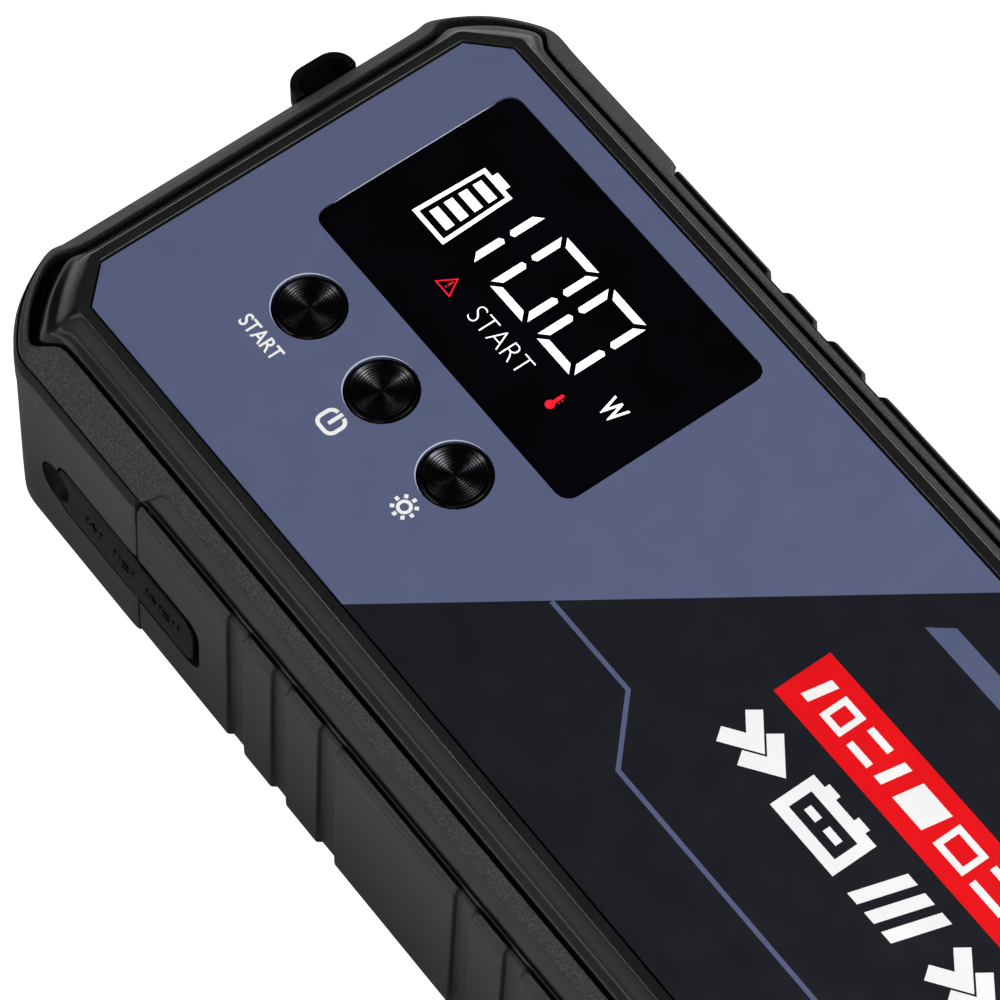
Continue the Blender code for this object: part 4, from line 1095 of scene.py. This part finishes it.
def make_button(name, node):
    """A turned cap with fine rings in its hollow top, and a flange below the panel."""
    low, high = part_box(node)
    cx, cy = (low.x + high.x) / 2, (low.y + high.y) / 2
    top = high.z
    radius = BUTTON_RADIUS
    flange = level(4.0 * MM)
    pitch, groove, hollow = 0.43 * MM, 0.090 * MM, 0.34 * MM
    profile = [(0.0, top - hollow)]
    rings = int((radius - 0.75 * MM) / pitch)
    for ring in range(rings):
        dish = -hollow + 0.14 * MM * (ring / rings) ** 2
        profile.append((pitch * (ring + 0.5), top + dish + groove))
        profile.append((pitch * (ring + 1.0), top + dish))
    rim = ((0.62, 0.06), (0.50, 0.0), (0.34, 0.01), (0.12, 0.10), (0.0, 0.26))
    profile += [(radius - inset * MM, top - drop * MM) for inset, drop in rim]
    profile += [
        (radius, flange), (6.2 * MM, flange), (6.2 * MM, flange - 0.8 * MM), (1.5 * MM, flange - 0.8 * MM),
        (1.5 * MM, low.z), (0.0, low.z),
    ]
    bm = bmesh.new()
    points = [bm.verts.new((cx + r, cy, z)) for r, z in profile]
    edges = [bm.edges.new(pair) for pair in zip(points, points[1:])]
    bmesh.ops.spin(
        bm, geom=points + edges, cent=(cx, cy, 0), axis=(0, 0, 1),
        angle=2 * math.pi, steps=96, use_merge=True,
    )
    bmesh.ops.remove_doubles(bm, verts=bm.verts, dist=1e-7)
    bmesh.ops.recalc_face_normals(bm, faces=bm.faces)
    button = new_object(name, bm, BUTTON)
    complete(button, node, "button_metal", node, angle=12)


def make_painted_edge_glints():
    """Painted highlights on the film's cut edges: a pale crescent at each hole and a pale line along the
    window, in place of the light that these edges catch.
    """
    top, thickness = level(-0.02 * MM), (0, 0, -0.03 * MM)
    outlines = {}
    for node in BUTTONS:
        low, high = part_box(node)
        centre = (low + high) / 2
        radius, width = HOLE_RADIUS, 0.24 * MM
        turns = [math.pi * (0.5 + i / 24) for i in range(25)]
        reach = [radius + width * math.sin(a - math.pi / 2) for a in turns]
        outer = [(*polar(centre, r, a), top) for a, r in zip(turns, reach)]
        inner = [(*polar(centre, radius, a), top) for a in turns[1:-1]]
        outlines["rim_" + node] = outer + inner[::-1]
    low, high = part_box("display_window")
    edge, inset = low.x - 0.06 * MM, 3.0 * MM
    tip, taper = edge - 0.15 * MM, inset + 2 * MM
    outlines["rim_window"] = [
        (edge, low.y + inset, top), (edge, high.y - inset, top),
        (tip, high.y - taper, top), (tip, low.y + taper, top),
    ]
    for name, outline in outlines.items():
        place(prism(name, outline, thickness, PAINTED_EDGE_GLINT), "pack", "panel_print")


# ---- covers


def make_flap():
    """Rubber flap, level with the wall, with a wider gap round the half that lies in the grip."""
    sunk = -0.06 * MM
    narrow, wide = 0.25 * MM, 0.95 * MM
    radius = FLAP_CORNER
    right = FLAP_X[1] - wide
    shape = rounded_rectangle((LOBE[0], right), (-FLAP_HALF, FLAP_HALF - wide), radius)
    outline = [(x, v) for x, v in shape if x > -SEAM_X + 1 * MM]
    outline.insert(0, (right, 0.0))
    left_end = rounded_rectangle((LOBE[0] + 0.4 * MM, right), (-FLAP_HALF, FLAP_HALF - narrow), radius)
    left_end = [(x, v) for x, v in left_end if x < -SEAM_X]
    top_row = [(-SEAM_X + 1.2 * MM, FLAP_HALF - wide), (-SEAM_X - 0.2 * MM, FLAP_HALF - narrow)]
    top_row += sorted([p for p in left_end if p[1] > 0], reverse=True)
    top_row += sorted(p for p in left_end if p[1] < 0)
    quarter = [p for p in outline if p[1] >= 0]
    lower = [p for p in outline if p[1] < 0]
    points = [on_flap(x, v, sunk) for x, v in quarter + top_row + lower]
    flap = prism("usb_flap", points, -FLAP_OUT * (1.8 * MM + sunk), RUBBER, bevel=0.25 * MM)
    complete(flap, "usb_cover", "rubber_black", "usb_cover", angle=40, cutters=[finger_dish()])


def make_plugs():
    """The two plugs on the back of the flap, which fill the ports while it is shut."""
    frame_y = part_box("port_frame")[0].y
    middle = level(FLAP_MIDDLE)
    for name, x, width, height in (("usb_a_plug", -101.0, 11.0, 3.8), ("usb_c_plug", -83.0, 7.0, 1.7)):
        plug = box_mesh(
            name, about(x * MM, width / 2 * MM), (frame_y - 2.2 * MM, frame_y + 0.9 * MM),
            about(middle, height / 2 * MM), RUBBER, 0.3 * MM,
        )
        complete(plug, "usb_cover", "rubber_black")


def finger_dish():
    """The ball that presses the fingertip's dish into the flap's round end."""
    bm = bmesh.new()
    bmesh.ops.create_uvsphere(bm, u_segments=64, v_segments=32, radius=4.2 * MM)
    bmesh.ops.translate(bm, vec=on_flap(LOBE[0] - 0.3 * MM, LOBE[1] + 0.3 * MM, 2.5 * MM), verts=bm.verts)
    return new_object("dish", bm)


def make_finger_lobe():
    """Round end of the flap with a dish for a fingertip."""
    lobe = lobe_disc("finger_lobe", LOBE_RADIUS, -2.0 * MM, -0.02 * MM)
    complete(lobe, "usb_cover", "rubber_black", angle=40, cutters=[finger_dish()])


def make_flap_marks():
    """Raised plus, minus and dashes along the flap, in place of words."""
    marks = []
    height, stroke_width = 2.0, 0.42
    x = -101.5
    pattern = "d+d_dd=d_d+d=dd_"
    for letter in pattern:
        if letter == "d":
            marks += stroke([(x, -height / 2), (x + 0.7, height / 2)], stroke_width)
            x += 1.25
        elif letter == "+":
            marks += [rectangle(x, x + 1.6, -0.21, 0.21), rectangle(x + 0.59, x + 1.01, 0.21, 0.9)]
            marks += [rectangle(x + 0.59, x + 1.01, -0.9, -0.21)]
            x += 2.1
        elif letter == "=":
            marks += [rectangle(x, x + 1.5, 0.35, 0.75), rectangle(x, x + 1.5, -0.75, -0.35)]
            x += 2.0
        else:
            x += 2.3
    outlines = [[on_flap(x * MM, (v - 0.6) * MM, 0.16 * MM) for x, v in mark] for mark in marks]
    place(plates("flap_marks", outlines, -FLAP_OUT * 0.4 * MM, RUBBER), "usb_cover", "rubber_black")


TAB_Y = 16.2 * MM
TAB_WIDTH = 10.8 * MM
TAB_DEPTH = (10.1 * MM, 14.6 * MM)


def tab_outline(root, inset):
    """A flat D with its straight side at the root."""
    half = TAB_WIDTH / 2 - inset
    radius = 3.6 * MM - inset
    span_x = (-wall_end(TAB_DEPTH[1]) - 4.9 * MM + inset, root + 2 * radius)
    outline = rounded_rectangle(span_x, about(TAB_Y, half), radius, 10)
    rounded_part = [(x, y) for x, y in outline if x < root]
    return [(root, TAB_Y + half), *rounded_part, (root, TAB_Y - half)]


def flat_prism(name, outline, depth, thickness, *materials, bevel=0.0):
    points = [(x, y, level(depth)) for x, y in outline]
    return prism(name, points, (0, 0, -thickness), *materials, bevel=bevel)


def make_socket_cover():
    """The plate in the end wall, with the pull tab that shows above it and the plug behind it."""
    cover_low, cover_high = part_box("socket_cover")
    top_x, foot_x = -wall_end(COVER_TOP), -wall_end(35.5 * MM)
    flat = top_x + 2.0 * MM
    z_foot, z_top = cover_low.z, level(COVER_TOP)
    section = ((top_x, z_top), (foot_x, z_foot), (flat, z_foot), (flat, z_top))
    points = [(x, cover_low.y, z) for x, z in section]
    plate = prism("socket_cover_plate", points, (0, cover_high.y - cover_low.y, 0), RUBBER, bevel=0.5 * MM)
    complete(plate, "socket_cover", "rubber_black", "socket_cover", angle=40)
    root = top_x - 2 * GAP
    height = TAB_DEPTH[1] - TAB_DEPTH[0]
    tab = flat_prism("pull_tab", tab_outline(root, 0), TAB_DEPTH[0], height, RUBBER, bevel=0.35 * MM)
    dish = flat_prism("tab_dish", tab_outline(root + 3 * GAP, 1.2 * MM), TAB_DEPTH[0] - 1 * MM, height)
    complete(tab, "socket_cover", "rubber_black", angle=40, cutters=[dish])
    neck = box_mesh(
        "tab_neck", (root - 0.5 * MM, top_x + 1.0 * MM), about(TAB_Y, TAB_WIDTH / 2 - 0.3 * MM),
        (level(TAB_DEPTH[1]), z_top - 0.3 * MM), RUBBER, 0.3 * MM,
    )
    complete(neck, "socket_cover", "rubber_black")
    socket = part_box("output_socket")
    plug = box_mesh(
        "socket_plug", (flat - 0.5 * MM, socket[0].x + 1.3 * MM), extent(socket, Y, -1.9 * MM),
        extent(socket, Z, -2.6 * MM), RUBBER, 0.6 * MM,
    )
    complete(plug, "socket_cover", "rubber_black")


def make_lens():
    """Clear lens with vertical flutes on its outer face, which stay away from its two sides."""
    low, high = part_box("lamp_lens")
    steps, plain_steps, steps_per_flute = 168, 6, 8
    deepest = 0.18 * MM
    face = wall_end(18 * MM)
    rings = []
    for i in range(steps + 1):
        y = low.y + (high.y - low.y) * i / steps
        flute = deepest
        if plain_steps < i < steps - plain_steps:
            flute = deepest * abs(math.sin(math.pi * i / steps_per_flute))
        section = (
            (low.x, low.z), (high.x - 0.28 * MM - flute, low.z),
            (high.x - 0.15 * MM - flute, low.z + 0.6 * MM), (face - 0.32 * MM - flute, high.z - 0.5 * MM),
            (face - 0.6 * MM - flute, high.z), (low.x, high.z),
        )
        rings.append([(x, y, z) for x, z in section])
    lens = new_object("lens", skin(rings, closed_rows=False, caps=True), FINISHES["lens_clear"])
    complete(lens, "pack", "lens_clear", "lamp_lens", angle=30)


# ---- carried-over CAD nodes


def finish_cad_nodes():
    """Give the CAD nodes that still show the finishes of their record slots."""
    slots = {row["node"]: row["material_slot"] for row in frame["record"]["subparts"]}
    for name, obj in frame["nodes"].items():
        if obj.hide_render:
            continue
        obj.data.materials.clear()
        obj.data.materials.append(FINISHES[slots[name]])
        for polygon in obj.data.polygons:
            polygon.material_index = 0
    frame["nodes"]["bottom_cover"].data.materials[0] = WALL
    panel = frame["nodes"]["face_panel"]
    # The panel's rounded edges take the film-edge material, which paints a near-white highlight where they
    # face +X.
    panel.data.materials.append(FILM_EDGE_PAINTED_GLINT)
    round_edges(panel, 0.12 * MM, 50).material = 1


def make_seal_lips():
    """The gasket's thin lip, which shows in the groove across each end."""
    for name, sign in (("seal_lip_left", -1), ("seal_lip_right", 1)):
        x = about(sign * (PANEL_END + 5.92 * MM), 0.17 * MM)
        lip = box_mesh(name, x, (-31 * MM, 31 * MM), (level(8.6 * MM), level(4.75 * MM)), RUBBER, 0.12 * MM)
        complete(lip, "pack", "rubber_black")


# ---- stage, light and camera


LIGHTS_AIM = (0, 0, 0.02)
# Name, place, size and power of each softbox.
LIGHTS = (
    ("key_left", (-0.45, -0.65, 0.76), (0.26, 0.2), 2.4),
    ("key_right", (0.59, 0.34, 0.86), (0.5, 0.4), 10.5),
    ("front_low", (-0.25, -1.0, 0.30), (0.7, 0.3), 1.6),
    ("front_right", (0.7, -0.8, 0.6), (0.5, 0.5), 0.8),
)


def aim(obj, eye, target):
    """Put a lamp or camera at a place and turn it to a target."""
    obj.location = eye
    obj.rotation_euler = (Vector(target) - Vector(eye)).to_track_quat("-Z", "Y").to_euler()


def area_light(name, eye, size, power):
    light = bpy.data.lights.new(name, "AREA")
    light.shape = "RECTANGLE"
    light.size, light.size_y = size
    light.energy = power
    aim(linked(name, light), eye, LIGHTS_AIM)


def floor_sheet(name, drop, shader):
    bm = bmesh.new()
    bmesh.ops.create_grid(bm, x_segments=1, y_segments=1, size=4.0)
    bmesh.ops.translate(bm, vec=(0, 0, -drop), verts=bm.verts)
    sheet = new_object(name, bm, shader.material)
    return sheet


def make_stage():
    """Softboxes in a dim room over two sheets: a pale floor that the camera doesn't see, for the light that
    it throws back, and a white one that only the camera sees.
    """
    floor = Shader("floor_white", (0.93, 0.93, 0.93), 0.9)
    floor.mottle(3.0, 0.004, 0.0)
    floor_sheet("floor", 0.0, floor).visible_camera = False
    paper = Shader("paper_white", (0.9, 0.9, 0.9), 0.9)
    paper.mottle(3.0, 0.004, 0.0)
    paper.bsdf.inputs["Emission Color"].default_value = (1.0, 1.0, 1.0, 1.0)
    paper.bsdf.inputs["Emission Strength"].default_value = 1.2
    backdrop = floor_sheet("backdrop", 0.5 * MM, paper)
    backdrop.visible_diffuse = backdrop.visible_glossy = backdrop.visible_transmission = False
    world = bpy.data.worlds.new("studio")
    bpy.context.scene.world = world
    world.use_nodes = True
    background = world.node_tree.nodes["Background"]
    background.inputs["Color"].default_value = (1.0, 1.0, 1.0, 1.0)
    background.inputs["Strength"].default_value = 0.025
    for light in LIGHTS:
        area_light(*light)


def make_camera():
    camera = bpy.data.cameras.new("camera")
    camera.lens = 198.43
    camera.sensor_width = 36.0
    camera.clip_start = 0.01
    obj = linked("camera", camera)
    aim(obj, (0.25931, -0.24349, 0.70073), (-0.053692, -0.010017, 0.0447))
    bpy.context.scene.camera = obj


def main():
    make_camera()
    make_shell()
    make_bezel()
    make_grip("grip_front", "side_grip_front", -1)
    make_grip("grip_rear", "side_grip_rear", 1)
    make_prints()
    make_display()
    for node in BUTTONS:
        make_button(node.replace("_button", "_cap"), node)
    make_painted_edge_glints()
    make_flap()
    make_plugs()
    make_finger_lobe()
    make_flap_marks()
    make_socket_cover()
    make_lens()
    make_seal_lips()
    finish_cad_nodes()
    make_stage()
    bpy.context.scene.view_settings.view_transform = "Standard"


main()
